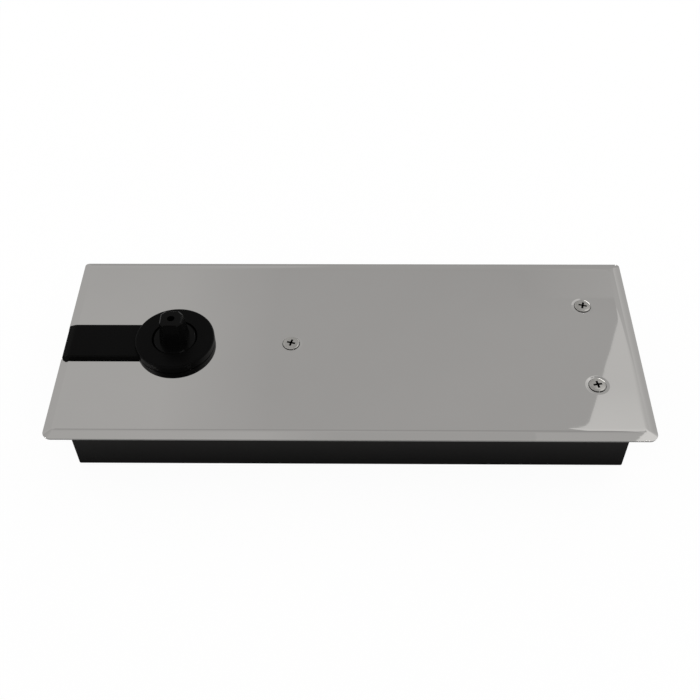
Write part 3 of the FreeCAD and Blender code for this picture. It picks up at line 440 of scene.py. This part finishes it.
# %% All finishes by slot
finishes = {
    "polished_stainless": polished_steel,
    "plated_screw": make_finish("plated_screw", (0.54, 0.53, 0.51), 1.0, 0.15, cloud=300.0, lift=0.002),
    # Black plastic: its lighter edge tone is partly wear and partly a painted highlight.
    "black_plastic": make_finish("black_plastic", (0.0031, 0.0031, 0.0031), 0.0, 0.34,
                                 grain_scale=1600.0, lift=0.006, specular=0.05,
                                 wear_and_sheen_tone=(0.005, 0.005, 0.005), wear_and_sheen_radius=0.3),
    "black_paint": black_paint,
    # Black spindle: its lighter edge tone is partly wear and partly a painted highlight of the edge
    # glints.
    "black_spindle": make_finish("black_spindle", (0.0030, 0.0030, 0.0030), 0.0, 0.24,
                                 grain_scale=1100.0, lift=0.004, specular=0.08,
                                 wear_and_sheen_tone=(0.012, 0.012, 0.0115), wear_and_sheen_radius=0.3),
    "zinc_steel": make_finish("zinc_steel", (0.58, 0.59, 0.60), 1.0, 0.34, cloud=160.0, lift=0.004),
    "black_steel": make_finish("black_steel", (0.03, 0.03, 0.032), 0.6, 0.42,
                               wear_and_sheen_tone=(0.25, 0.25, 0.25)),
    "cast_iron": make_finish("cast_iron", (0.10, 0.10, 0.098), 0.35, 0.72, drift=0.22, cloud=90.0,
                             grain_scale=650.0, lift=0.12, wear_and_sheen_tone=(0.28, 0.27, 0.26)),
    "machined_steel": make_finish("machined_steel", (0.52, 0.52, 0.51), 1.0, 0.28,
                                  stretch=25.0, lift=0.003),
    "hardened_steel": make_finish("hardened_steel", (0.44, 0.43, 0.42), 1.0, 0.20,
                                  cloud=120.0, lift=0.001),
    "bearing_bronze": make_finish("bearing_bronze", (0.55, 0.36, 0.16), 1.0, 0.34,
                                  cloud=200.0, lift=0.004),
    "valve_brass": make_finish("valve_brass", (0.72, 0.52, 0.22), 1.0, 0.26, cloud=220.0, lift=0.003),
    "seal_rubber": make_finish("seal_rubber", (0.012, 0.012, 0.012), 0.0, 0.62,
                               lift=0.01, specular=0.35),
    "gasket_fibre": make_finish("gasket_fibre", (0.16, 0.12, 0.08), 0.0, 0.85, drift=0.3,
                                cloud=400.0, lift=0.03),
    "spring_steel": make_finish("spring_steel", (0.06, 0.055, 0.05), 0.8, 0.38,
                                wear_and_sheen_tone=(0.3, 0.29, 0.28)),
}
print(len(finishes), "finishes")

# %% [markdown]
# Two more finishes belong to single faces and not to whole pieces.
# A sheared edge of steel sheet is never polished: it stays grey and rough, and that is why the mirror
# plate ends in a darker line. The punched recess of a screw gets a near-black colour, a painted shade
# for the shadow that fills it.

# %% Finishes of single faces
sheared_edge = make_finish("sheared_edge", (0.15, 0.147, 0.143), 1.0, 0.48, drift=0.2,
                           cloud=300.0, lift=0.01)
# Painted shade: the near-black colour stands for the shadow inside the recess.
screw_recess_shade = make_finish("screw_recess_shade", (0.006, 0.0055, 0.005), 0.0, 0.8, drift=0.3, cloud=900.0,
                           lift=0.01, specular=0.1)
print("for single faces", sheared_edge.name, "and", screw_recess_shade.name)

# %% [markdown]
# Every piece of the frame names its slot in the record, so one loop can dress
# the whole mechanism. A piece that is modelled again below is simply covered by
# the new one later.

# %% Dress the frame's own pieces
for part in frame["record"]["subparts"]:
    piece = frame["nodes"][part["node"]]
    piece.data.materials.clear()
    piece.data.materials.append(finishes[part["material_slot"]])
print(len(frame["nodes"]), "pieces dressed")

# %% [markdown]
# Each new piece goes through the same last steps: make the object, smooth its shading, give it its
# finish, hide the frame's pieces that it stands for, and let it ride on its body. One function does
# this, so that no step can be forgotten. Another takes the razor edge off a piece, since no real edge
# is perfectly sharp.

# %% Finish a new piece
def finish_piece(name, builder, body, slot, *stands_for):
    """Turns a bmesh into a piece of the part, with its finish and its body; the frame's pieces that it
    stands for are hidden.
    """
    mesh = bpy.data.meshes.new(name)
    builder.normal_update()
    builder.to_mesh(mesh)
    builder.free()
    for polygon in mesh.polygons:
        polygon.use_smooth = True
    mesh.materials.append(finishes[slot])
    piece = bpy.data.objects.new(name, mesh)
    bpy.context.scene.collection.objects.link(piece)
    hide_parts(*stands_for)
    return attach(piece, body)


def soften(piece, width, angle=50.0, steps=3, weight=100):
    """Rounds the sharp edges and lets the large faces decide the shading."""
    bevel = piece.modifiers.new("soft edges", "BEVEL")
    bevel.width = width
    bevel.segments = steps
    bevel.limit_method = "ANGLE"
    bevel.angle_limit = math.radians(angle)
    bevel.harden_normals = False
    weighted = piece.modifiers.new("face normals", "WEIGHTED_NORMAL")
    weighted.weight = weight
    weighted.keep_sharp = False


print("last steps", finish_piece.__name__, "and", soften.__name__)

# %% [markdown]
# The cover plate is one sheet, pressed so that a narrow edge slopes down all round.
# Its beauty is in the fold: the mirror turns there within a millimetre, and a
# faceted fold would break the reflection into stripes.
# One way is to start from a block and bevel it. Here the skin is drawn ring by ring
# instead, each ring a little further in and higher, because that gives the fold its
# true arc and lets the corners close with a mitre, as the pressed ones do.

# %% Cover plate: measures
bevel_band = 5.0 * MM
bevel_drop = 1.6 * MM
cover_sheet = 1.5 * MM
corner_r_front = 4.8 * MM
corner_r_back = 2.2 * MM
corner_r_fold = 1.2 * MM
corner_steps = 12
slot_half = 11.0 * MM
cover_hole_r = 19.7 * MM
half_length = (cover_high.x - cover_low.x) / 2
half_width = (cover_high.y - cover_low.y) / 2
edge_slope = math.atan2(bevel_drop, bevel_band)
print("the edge slopes by", round(math.degrees(edge_slope), 1), "degrees")

# %% [markdown]
# The press didn't close the fold evenly: it is tight on the left and rounder to the
# right, which shows in the mirror as a sharp or a soft change. One radius for the
# whole edge would be simpler, but this softness is half of how the plate looks. So
# the radius is a function of the place, and the height follows from the radius.

# %% Cover plate: the fold
fold_r_left = 3.0 * MM
fold_r_right = 12.0 * MM
fold_r_end = 22.0 * MM
softer_from_x = 30 * MM
right_end_x = (half_length - 12 * MM, half_length - 4 * MM)
right_end_y = (6 * MM - half_width, -35 * MM)


def eased(value, start, stop):
    """0 before start, 1 after stop, and a smooth change between them."""
    share = min(max((value - start) / (stop - start), 0.0), 1.0)
    return share * share * (3 - 2 * share)


def fold_radius(x, y):
    """Tight on the left, softer to the right, softest along the right end."""
    along = fold_r_left + (fold_r_right - fold_r_left) * eased(x, softer_from_x, half_length)
    end_share = eased(x, *right_end_x) * eased(y, *right_end_y)
    return along + (fold_r_end - along) * end_share


def edge_height(inset, r):
    """Height below the field: a straight slope, then an arc of radius r, then nothing."""
    arc_end = bevel_band + r * math.tan(edge_slope / 2)
    run = arc_end - inset
    if run <= 0:
        return 0.0
    if run >= r * math.sin(edge_slope):
        return (inset / bevel_band - 1) * bevel_drop
    return math.sqrt(r * r - run * run) - r


print("rim lies", round(-edge_height(0.0, fold_r_left) / MM, 2), "mm below the field")

# %% [markdown]
# The rings run from the rim inwards. Spaced evenly, most of them would lie where the
# plate is flat. They crowd round the middle of the fold instead, where the surface
# turns. Each one starts and ends at the slot, so the strip can pass through.

# %% Cover plate: rings
fold_reach = 3.5 * MM
fold_rings = 10
fold_crowding = 0.7
fold_steps = [step / fold_rings for step in range(-fold_rings, fold_rings + 1)]
insets = [0.0] + [bevel_band + fold_reach * u * abs(u) ** fold_crowding for u in fold_steps]


def open_ring(inset):
    """Points round the plate at an inset, from one side of the slot to the other."""
    share = min(inset / bevel_band, 1.0)
    hx = half_length - inset
    hy = half_width - inset
    points = [(-hx, -slot_half)]
    for side_x, side_y, start in ((-1, -1, 180), (1, -1, 270), (1, 1, 0), (-1, 1, 90)):
        corner_r = corner_r_back if side_y > 0 else corner_r_front
        r = corner_r + (corner_r_fold - corner_r) * share
        for step in range(corner_steps + 1):
            angle = math.radians(start + 90 * step / corner_steps)
            x = side_x * (hx - r) + r * math.cos(angle)
            y = side_y * (hy - r) + r * math.sin(angle)
            points.append((x, y))
    points.append((-hx, slot_half))
    return points


print("rings at", [round(inset / MM, 2) for inset in insets])

# %% [markdown]
# A skin that is built from given points needs three small tools: points on a circle, a loop of vertices
# at one height, and a band of quads between two loops. Blender's operators can do the same, but these
# say plainly which point is joined to which.

# %% Loops and bands
def circle(x, y, r, count, start=0.0, sweep=360.0):
    """Points on an arc; a full circle leaves out the repeated last point."""
    steps = count if sweep == 360.0 else count - 1
    return [(x + r * math.cos(math.radians(start + sweep * i / steps)),
             y + r * math.sin(math.radians(start + sweep * i / steps))) for i in range(count)]


def add_loop(builder, points, z):
    return [builder.verts.new((x, y, z)) for x, y in points]


def bridge(builder, first, second, closed):
    """Quads between two loops of equal length."""
    count = len(first)
    for i in range(count if closed else count - 1):
        j = (i + 1) % count
        builder.faces.new((first[i], first[j], second[j], second[i]))


print("tools", [tool.__name__ for tool in (circle, add_loop, bridge)])

# %% [markdown]
# Under each screw the sheet is pressed down into a shallow dish. It is less than a
# fifth of a millimetre deep, but in a mirror it draws a bright and a dark crescent
# round every head, so it has to be real geometry. What is left of the field, between
# the last ring, the notch round the collar and the dishes, is filled with triangles:
# it is flat, so they may have any shape.

# %% Cover plate: skin and dishes
dish_r = 6.7 * MM
dish_depths = (0.08 * MM, 0.17 * MM, 0.11 * MM)
dish_steps = 8
dish_points = 64
notch_points = 72
screw_hole_r = screw_head_r + 0.28 * MM


def press_dish(builder, x, y, depth):
    """Rings from the dish's rim down to the screw's hole; returns the rim."""
    rings = []
    for step in range(dish_steps + 1):
        share = step / dish_steps
        r = dish_r + (screw_hole_r - dish_r) * share
        z = cover_top - depth * share * share * (3 - 2 * share)
        rings.append(add_loop(builder, circle(x, y, r, dish_points), z))
    for outer, inner in zip(rings, rings[1:]):
        bridge(builder, outer, inner, True)
    return rings[0]


def build_cover_plate():
    """The whole upper skin of the plate, without thickness."""
    builder = bmesh.new()
    rings = []
    for inset in insets:
        points = [(x, y, cover_top + edge_height(inset, fold_radius(x, y)))
                  for x, y in open_ring(inset)]
        rings.append([builder.verts.new(point) for point in points])
    for outer, inner in zip(rings, rings[1:]):
        bridge(builder, outer, inner, False)
    opening = math.degrees(math.asin(slot_half / cover_hole_r))
    notch = circle(spindle_x, 0.0, cover_hole_r, notch_points, 180 - opening, 2 * opening - 360)
    loops = [rings[-1] + add_loop(builder, notch, cover_top)]
    for (x, y), depth in zip(screw_places, dish_depths):
        loops.append(press_dish(builder, x, y, depth))
    flat = [v for loop in loops for v in loop]
    for triangle in tessellate_polygon([[v.co for v in loop] for loop in loops]):
        builder.faces.new([flat[i] for i in triangle])
    bmesh.ops.recalc_face_normals(builder, faces=builder.faces)
    if sum(face.normal.z * face.calc_area() for face in builder.faces) < 0:
        bmesh.ops.reverse_faces(builder, faces=builder.faces)
    return builder


cover = finish_piece("polished_cover", build_cover_plate(), "housing", "polished_stainless",
                     "cover_plate")
print("cover skin has", len(cover.data.polygons), "faces before its thickness")

# %% [markdown]
# The sheet is 1.5 mm thick. A second skin could be drawn below the first. A solidify
# modifier gives the same, and it lets the sheared edge have a finish of its own. A
# very small bevel then breaks the edge, as the deburring of a real plate does.

# %% Cover plate: thickness and edge
cover_edge_width = 0.06 * MM
cover_edge_weight = 50
cover.data.materials.append(sheared_edge)
sheet = cover.modifiers.new("sheet", "SOLIDIFY")
sheet.thickness = cover_sheet
sheet.offset = -1.0
sheet.material_offset_rim = 1
soften(cover, cover_edge_width, weight=cover_edge_weight)
print("cover sheet is", round(sheet.thickness / MM, 2), "mm thick")

# %% [markdown]
# The screws are raised countersunk ones with a cross recess. The head is turned: an
# almost flat dome, a leaning rim and a small round edge. It could be a flattened
# ball, but a ball has no rim, and it is the rim that mirrors the low window as a
# white arc. So the outline is a row of points that is turned about the axis.

# %% Cover screws: a turned head
rim_top = 0.22 * MM
rim_bottom = -0.35 * MM
head_edge_r = 0.22 * MM
rim_width = 0.55 * MM
rim_lean = 27.0
dome_rise = 0.12 * MM
shank_r = 2.45 * MM
screw_length = 8.0 * MM
edge_steps = 6
dome_steps = 9


def turned(profile_points, count):
    """A closed solid of revolution about Z from (radius, z) points that start and end on the axis."""
    builder = bmesh.new()
    first = builder.verts.new((0, 0, profile_points[0][1]))
    last = builder.verts.new((0, 0, profile_points[-1][1]))
    loops = [add_loop(builder, circle(0, 0, r, count), z) for r, z in profile_points[1:-1]]
    for lower, upper in zip(loops, loops[1:]):
        bridge(builder, lower, upper, True)
    for i in range(count):
        j = (i + 1) % count
        builder.faces.new((first, loops[0][j], loops[0][i]))
        builder.faces.new((last, loops[-1][i], loops[-1][j]))
    bmesh.ops.recalc_face_normals(builder, faces=builder.faces)
    return builder


def screw_profile():
    """From the tip up the shank and the cone, over the round edge and the leaning rim to the dome."""
    cone = screw_head_r - shank_r
    points = [(0, -screw_length), (shank_r, -screw_length), (shank_r, rim_bottom - cone),
              (screw_head_r, rim_bottom)]
    edge_centre = screw_head_r - head_edge_r
    for step in range(edge_steps + 1):
        lean = math.radians(90 + (rim_lean - 90) * step / edge_steps)
        r = edge_centre + head_edge_r * math.sin(lean)
        points.append((r, rim_top + head_edge_r * math.cos(lean)))
    dome_reach = points[-1][0] - rim_width
    dome_foot = points[-1][1] + rim_width * math.tan(math.radians(rim_lean))
    for step in range(dome_steps):
        share = step / dome_steps
        points.append((dome_reach * (1 - share), dome_foot + dome_rise * (1 - (1 - share) ** 2)))
    points.append((0, dome_foot + dome_rise))
    return points


print("a head rises", round(screw_profile()[-1][1] / MM, 2), "mm over the cover")

# %% [markdown]
# The recess is punched with a tapered cross, so that its walls lean in and the bottom
# stays dark. Its walls could be modelled face by face. A boolean is closer to the real
# work: the cutter is made, sunk into the head and thrown away.

# %% Cover screws: the cross recess
recess_reach = 2.45 * MM
recess_width = 1.22 * MM
recess_face = 1
cutter_levels = ((1.2 * MM, 1.08), (-1.4 * MM, 0.5))


def cross_cutter():
    """Two tapered bars that cross; each level has a height and the share of the full size there."""
    builder = bmesh.new()
    arms = [(recess_reach, recess_width / 2), (recess_width / 2, recess_reach)]
    for reach_x, reach_y in arms:
        corners = [(-reach_x, -reach_y), (reach_x, -reach_y), (reach_x, reach_y), (-reach_x, reach_y)]
        levels = []
        for z, share in cutter_levels:
            levels.append(add_loop(builder, [(x * share, y * share) for x, y in corners], z))
        bridge(builder, levels[0], levels[1], True)
        builder.faces.new(levels[0])
        builder.faces.new(levels[1])
    bmesh.ops.recalc_face_normals(builder, faces=builder.faces)
    return builder


print("a recess is", round(2 * recess_reach / MM, 2), "mm across")

# %% [markdown]
# A cut needs two plain objects and a modifier. They could stay hidden in the scene,
# but hidden pieces confuse whoever opens it, so both are removed after the cut.

# %% Cover screws: cutting
def plain_object(name, builder, *materials):
    """An object that is no piece of the part: a card, the floor or a cutter."""
    mesh = bpy.data.meshes.new(name)
    builder.to_mesh(mesh)
    builder.free()
    for material in materials:
        mesh.materials.append(material)
    thing = bpy.data.objects.new(name, mesh)
    bpy.context.scene.collection.objects.link(thing)
    return thing


def carved(builder, cutter_builder):
    """The first solid less the second, as a bmesh; the cut faces get the recess's painted shade."""
    for face in cutter_builder.faces:
        face.material_index = recess_face
    body = plain_object("body to cut", builder, finishes["plated_screw"], screw_recess_shade)
    cutter = plain_object("cutter", cutter_builder, finishes["plated_screw"], screw_recess_shade)
    cut = body.modifiers.new("cut", "BOOLEAN")
    cut.object = cutter
    cut.operation = "DIFFERENCE"
    cut.use_self = True
    bpy.context.view_layer.update()
    result = bmesh.new()
    result.from_object(body, bpy.context.evaluated_depsgraph_get())
    bpy.data.objects.remove(body)
    bpy.data.objects.remove(cutter)
    return result


print("cuts are made by", carved.__name__)

# %% [markdown]
# Each screw stopped at an angle of its own when it was driven in, so each is turned
# before it goes to its place. They could be three objects. They are one, because the
# frame counts the screws as one set.

# %% Cover screws: three in their places
recess_turns = (-15.0, 11.0, -15.0)
turning_steps = 72
screw_edge_width = 0.05 * MM
screws = bmesh.new()
for (x, y), turn in zip(screw_places, recess_turns):
    head = carved(turned(screw_profile(), turning_steps), cross_cutter())
    bmesh.ops.rotate(head, verts=head.verts, matrix=Matrix.Rotation(math.radians(turn), 3, "Z"))
    bmesh.ops.translate(head, verts=head.verts, vec=(x, y, cover_top))
    one = bpy.data.meshes.new("one screw")
    head.to_mesh(one)
    head.free()
    screws.from_mesh(one)
    bpy.data.meshes.remove(one)
screw_set = finish_piece("raised_screws", screws, "housing", "plated_screw", "cover_screws")
screw_set.data.materials.append(screw_recess_shade)
soften(screw_set, screw_edge_width, angle=40.0, steps=2)
print("screws have", len(screw_set.data.polygons), "faces")

# %% [markdown]
# The main spring is wound from flat wire and its ends are ground flat. It stays out of sight. In the
# real closer the piston presses it together when the door opens, and a rigid spring would run into the
# piston. Here it is made in two halves that meet in the middle, both fixed on the housing. Its measures
# come first, most of them from the frame.

# %% Main spring: measures
spring_low, spring_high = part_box("main_spring")
spring_turns = 8
spring_pitch = (spring_high.x - spring_low.x) / spring_turns
spring_r = (spring_high.z - spring_low.z) / 2
spring_z = (spring_high.z + spring_low.z) / 2
spring_middle = (spring_high.x + spring_low.x) / 2
wire_across = 4.0 * MM
wire_along = 5.0 * MM
wire_tip = 0.3 * MM
ground_gap = 0.05 * MM
steps_a_turn = 40
print("spring pitch", round(spring_pitch / MM, 2), "mm")

# %% [markdown]
# A coil could be a curve with a bevel, but ground ends need a cut on top of it. Here
# the wire's section is set down step by step along the helix and held inside the
# spring's length, which grinds the ends flat by itself.

# %% Main spring: winding one half
def spring_half(first, last):
    """Flat wire wound from one place on the axis to another, ground flat at the spring's ends."""
    builder = bmesh.new()
    count = round((last - first) / spring_pitch * steps_a_turn)
    inner_r = spring_r - wire_across
    rings = []
    for step in range(count + 1):
        x = first + (last - first) * step / count
        angle = 2 * math.pi * (x + wire_along / 2 - spring_low.x) / spring_pitch
        near = max(x - wire_along / 2, spring_low.x + ground_gap)
        far = min(x + wire_along / 2, spring_high.x - ground_gap)
        corners = ((near, inner_r), (near, spring_r), (far, spring_r), (far, inner_r))
        rings.append([builder.verts.new((place, r * math.sin(angle), spring_z - r * math.cos(angle)))
                      for place, r in corners])
    for one, two in zip(rings, rings[1:]):
        bridge(builder, one, two, True)
    builder.faces.new(rings[0])
    builder.faces.new(rings[-1])
    bmesh.ops.recalc_face_normals(builder, faces=builder.faces)
    return builder


print("a half has about", round(spring_turns / 2 * steps_a_turn), "steps")

# %% [markdown]
# Each half runs from its end of the spring to the middle, so the two meet there. Both halves ride on
# the housing and get a mesh of their own.

# %% Main spring: two halves on the housing
wire_edge_width = 0.25 * MM
spring_reach = wire_along / 2 - wire_tip
spring_start = spring_low.x - spring_reach
spring_stop = spring_high.x + spring_reach


def place_spring_half(name, first, last):
    half = finish_piece(name, spring_half(first, last), "housing", "spring_steel", "main_spring")
    soften(half, wire_edge_width, angle=60.0, steps=2)
    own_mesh(half)


place_spring_half("spring_piston_half", spring_start, spring_middle)
place_spring_half("spring_plate_half", spring_middle, spring_stop)

# %% [markdown]
# The floor of the studio is pale paper. It could be made white by strong lamps, but
# they would wash the closer out. Instead, rays from the camera and from mirrors see
# it glow as clean white, and all other rays see matt paper, which keeps a soft shadow
# under the closer.

# %% Floor
floor_size = 6.0
floor_gap = 0.1 * MM
floor_tone = (0.86, 0.86, 0.86, 1.0)
floor_glow = 1.06
floor_glow_share = 0.9
white = (1, 1, 1, 1)


def ray_mask(tree):
    """1 for rays from the camera, from mirrors and through glass."""
    path = add_node(tree, "ShaderNodeLightPath")
    first = add_node(tree, "ShaderNodeMath", operation="MAXIMUM")
    second = add_node(tree, "ShaderNodeMath", operation="MAXIMUM")
    join(tree,
         (path.outputs["Is Camera Ray"], first.inputs[0]),
         (path.outputs["Is Glossy Ray"], first.inputs[1]), (first.outputs[0], second.inputs[0]),
         (path.outputs["Is Transmission Ray"], second.inputs[1]))
    return second.outputs[0]


def lit_or_seen(tree, lit, seen, factor, end_kind):
    """Joins what lights the scene and what is seen of it, and ends the tree."""
    both = add_node(tree, "ShaderNodeMixShader")
    end = add_node(tree, end_kind)
    join(tree, (factor, both.inputs[0]), (lit.outputs[0], both.inputs[1]),
         (seen.outputs[0], both.inputs[2]), (both.outputs[0], end.inputs[0]))


def empty_tree(thing):
    """The cleared node tree of a material or a world."""
    thing.use_nodes = True
    thing.node_tree.nodes.clear()
    return thing.node_tree


floor_builder = bmesh.new()
bmesh.ops.create_grid(floor_builder, x_segments=1, y_segments=1, size=floor_size / 2)
floor = plain_object("floor", floor_builder)
floor.location.z = frame_low.z - floor_gap
floor_paint = bpy.data.materials.new("floor paint")
tree = empty_tree(floor_paint)
matt = add_node(tree, "ShaderNodeBsdfDiffuse", [("Color", floor_tone)])
glow = add_node(tree, "ShaderNodeEmission", [("Color", white), ("Strength", floor_glow)])
share = add_node(tree, "ShaderNodeMath", [(1, floor_glow_share)], operation="MULTIPLY")
join(tree, (ray_mask(tree), share.inputs[0]))
lit_or_seen(tree, matt, glow, share.outputs[0], "ShaderNodeOutputMaterial")
floor.data.materials.append(floor_paint)
print("floor", floor_size, "m wide at z", round(floor.location.z, 4))

# %% [markdown]
# The world behind the floor is made in the same way: white where it is seen, and
# dimmer where it only lights, so that the black pieces stay black. One strength for
# both would be simpler, but it would make the picture either grey or washed out.

# %% World
world_seen = 1.0
world_light = 0.6
world = bpy.data.worlds.new("white room")
bpy.context.scene.world = world
tree = empty_tree(world)
seen = add_node(tree, "ShaderNodeBackground", [("Color", white), ("Strength", world_seen)])
light = add_node(tree, "ShaderNodeBackground", [("Color", white), ("Strength", world_light)])
lit_or_seen(tree, light, seen, ray_mask(tree), "ShaderNodeOutputWorld")
print("world seen at", world_seen, "and lighting at", world_light)

# %% [markdown]
# A polished plate shows the room and hardly itself, so the room is drawn with care.
# It could be modelled wall by wall, but a mirror only needs to see light and dark in
# the right places. So the room is a set of glowing cards that the camera can't see.
# A card may grow lighter or darker along one or two directions.

# %% A glowing card
card_tint = (1.0, 0.99, 0.975, 1.0)
card_drift = 0.03
card_cloud = 2.5


def card(name, corners, strength, along_x=None, along_y=None):
    """A card that mirrors and matt faces see, but not the camera.

    along_x and along_y are (from, to, first, last): a factor that runs between two places."""
    builder = bmesh.new()
    builder.faces.new([builder.verts.new(corner) for corner in corners])
    thing = plain_object(name, builder)
    thing.visible_camera = False
    thing.visible_shadow = False
    paper = bpy.data.materials.new(name)
    tree = empty_tree(paper)
    clouds = place_group(tree, mottle, scale=card_cloud, contrast=1.0)
    level = add_node(tree, "ShaderNodeMapRange", [("To Min", strength * (1 - card_drift)),
                                                  ("To Max", strength * (1 + card_drift))])
    place = add_node(tree, "ShaderNodeTexCoord")
    parts = add_node(tree, "ShaderNodeSeparateXYZ")
    join(tree, (clouds.outputs["Value"], level.inputs["Value"]),
         (place.outputs["Object"], parts.inputs[0]))
    value = level.outputs[0]
    for axis, spread in enumerate((along_x, along_y)):
        if spread:
            names = ("From Min", "From Max", "To Min", "To Max")
            ramp = add_node(tree, "ShaderNodeMapRange", list(zip(names, spread)))
            gain = add_node(tree, "ShaderNodeMath", operation="MULTIPLY")
            join(tree, (parts.outputs[axis], ramp.inputs["Value"]), (value, gain.inputs[0]),
                 (ramp.outputs[0], gain.inputs[1]))
            value = gain.outputs[0]
    glow = add_node(tree, "ShaderNodeEmission", [("Color", card_tint)])
    end = add_node(tree, "ShaderNodeOutputMaterial")
    join(tree, (value, glow.inputs["Strength"]), (glow.outputs[0], end.inputs[0]))
    thing.data.materials.append(paper)
    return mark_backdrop(thing)


def flat_card(name, corners, height, strength, along_x=None, along_y=None):
    """A level card from (x, y) corners."""
    return card(name, [(x, y, height) for x, y in corners], strength, along_x, along_y)


def oblong(left, near, right, far):
    """The four corners of a rectangle in the plan of the room."""
    return [(left, near), (right, near), (right, far), (left, far)]


print("cards are made by", card.__name__, "and", flat_card.__name__)

# %% [markdown]
# What the plate's field mirrors lies overhead and far back. The ceiling is a wide grey
# card, a little lighter at the left. Over the right end hangs a lighter panel with a
# slanted edge, and its image is the slanted corner of light round the two screws. The
# back and end panels and a narrow back strip carry the ceiling on over the far edge.
# The cards hang at four heights, a centimetre apart, so that none lies in another.

# %% The room: ceiling and panels
ceiling_height = 1.20
panel_height = 1.19
beam_height = 1.18
patch_height = 1.17
flat_card("ceiling", oblong(-7, -7, 7, 9), ceiling_height, strength=0.50,
          along_x=(-0.40, -0.18, 1.15, 1.0), along_y=(1.10, 1.27, 1.0, 0.96))
light_panel_edge = [(0.42, 0.60), (2.6, 0.60), (2.6, 1.12), (0.56, 1.12), (0.555, 1.10),
                    (0.520, 1.005), (0.495, 0.940), (0.476, 0.884), (0.446, 0.808),
                    (0.436, 0.799), (0.405, 0.79)]
flat_card("light panel", light_panel_edge, panel_height, strength=0.715,
          along_x=(0.66, 1.0, 1.0, 0.87), along_y=(0.60, 0.90, 1.27, 1.0))
flat_card("back panel", oblong(0.56, 1.12, 1.15, 2.4), panel_height, strength=0.60,
          along_x=(0.60, 1.10, 0.92, 1.0), along_y=(1.12, 1.45, 1.0, 0.90))
flat_card("end panel", oblong(1.15, 1.12, 2.6, 2.4), panel_height, strength=0.66,
          along_x=(1.15, 1.80, 1.0, 0.85))
flat_card("back strip", oblong(0.34, 1.135, 0.60, 2.0), beam_height, strength=0.488,
          along_x=(0.36, 0.58, 1.0, 1.11), along_y=(1.135, 1.24, 1.0, 0.985))
print("ceiling at", ceiling_height, "m")

# %% [markdown]
# The front fold leans towards the camera, so it mirrors what hangs nearer. A dark
# beam, with a part of its own at the left and a lighter end, keeps the fold as grey
# as the field. Two front cards do the same for the slope below it, and the corner
# card lights the front corner at the right, where the plate is brightest.

# %% The room: beam, front cards and corner card
flat_card("dark beam", oblong(-0.6, 0.05, 0.464, 0.60), beam_height, strength=0.52,
          along_x=(-0.30, 0.35, 1.07, 1.0), along_y=(0.05, 0.60, 1.0, 0.72))
flat_card("dark beam left", oblong(-2.0, 0.05, -0.6, 0.60), beam_height, strength=0.55,
          along_y=(0.05, 0.60, 1.0, 0.85))
flat_card("beam end", oblong(0.464, 0.18, 0.497, 0.55), beam_height, strength=0.80,
          along_x=(0.464, 0.495, 0.45, 1.15))
corner_card_edge = [(0.44, -0.25), (1.45, -0.25), (1.45, 0.60), (0.60, 0.60), (0.490, 0.25),
                    (0.476, 0.10), (0.470, -0.03), (0.4645, -0.045), (0.4585, -0.056),
                    (0.446, -0.09)]
flat_card("corner card", corner_card_edge, panel_height, strength=0.94)
flat_card("front left", oblong(-0.90, -0.30, 0.40, 0.05), beam_height, strength=0.505,
          along_x=(-0.16, -0.03, 1.12, 1.0))
front_right_edge = [(0.29, -0.30), (0.438, -0.30), (0.445, -0.09), (0.457, -0.057),
                    (0.463, -0.046), (0.468, 0.05), (0.29, 0.05)]
flat_card("front right", front_right_edge, patch_height, strength=0.545)
print("front cards at", beam_height, "and", patch_height, "m")

# %% [markdown]
# The last three stand for the rest of the room. The side behind the camera is dark
# and blackens the rims of the screw heads, as it does in most product pictures. A
# bright low window at the right gives those rims their white arc. A far wall fills
# the horizon beside it with grey, where polished rims would mirror a white world.

# %% The room: dark side, window and far wall
camera_side_edge = [(-1.6, -1.7), (1.9, -1.7), (1.9, -0.35), (0.87, -0.35), (0.30, -0.42),
                    (-1.6, -0.42)]
flat_card("camera side", camera_side_edge, panel_height, strength=0.05)
card("low window", [(2.2, 6.4, 0.0), (4.4, 5.2, 0.0), (4.4, 5.2, 0.95), (2.2, 6.4, 0.95)],
     strength=5.0)
card("far wall", [(-9, 6.5, -0.3), (1.9, 6.5, -0.3), (1.9, 6.5, 1.3), (-9, 6.5, 1.3)],
     strength=0.46)
print("meshes in the scene", len(bpy.data.meshes))

# %% [markdown]
# The black pieces need light of their own, since the cards hardly reach them. One
# large lamp would flood the plate, so there are two small and weak ones. The key
# stands at the right front, where its glint runs along round edges, and the other
# gives the collar and the spindle a glint at their left.

# %% Lamps
def soft_lamp(name, place, size, power):
    """A square lamp that is aimed at the middle of the closer."""
    data = bpy.data.lights.new(name, "AREA")
    data.shape = "SQUARE"
    data.size = size
    data.energy = power
    lamp = bpy.data.objects.new(name, data)
    bpy.context.scene.collection.objects.link(lamp)
    lamp.location = place
    lamp.rotation_euler = (Vector((0, 0, 0)) - Vector(place)).to_track_quat("-Z", "Y").to_euler()
    return lamp


key_lamp = soft_lamp("key", (0.45, -0.75, 0.75), size=0.08, power=0.35)
left_lamp = soft_lamp("left glint", (-0.9, -0.35, 0.8), size=0.06, power=0.5)
print("lamps", key_lamp.name, "and", left_lamp.name)
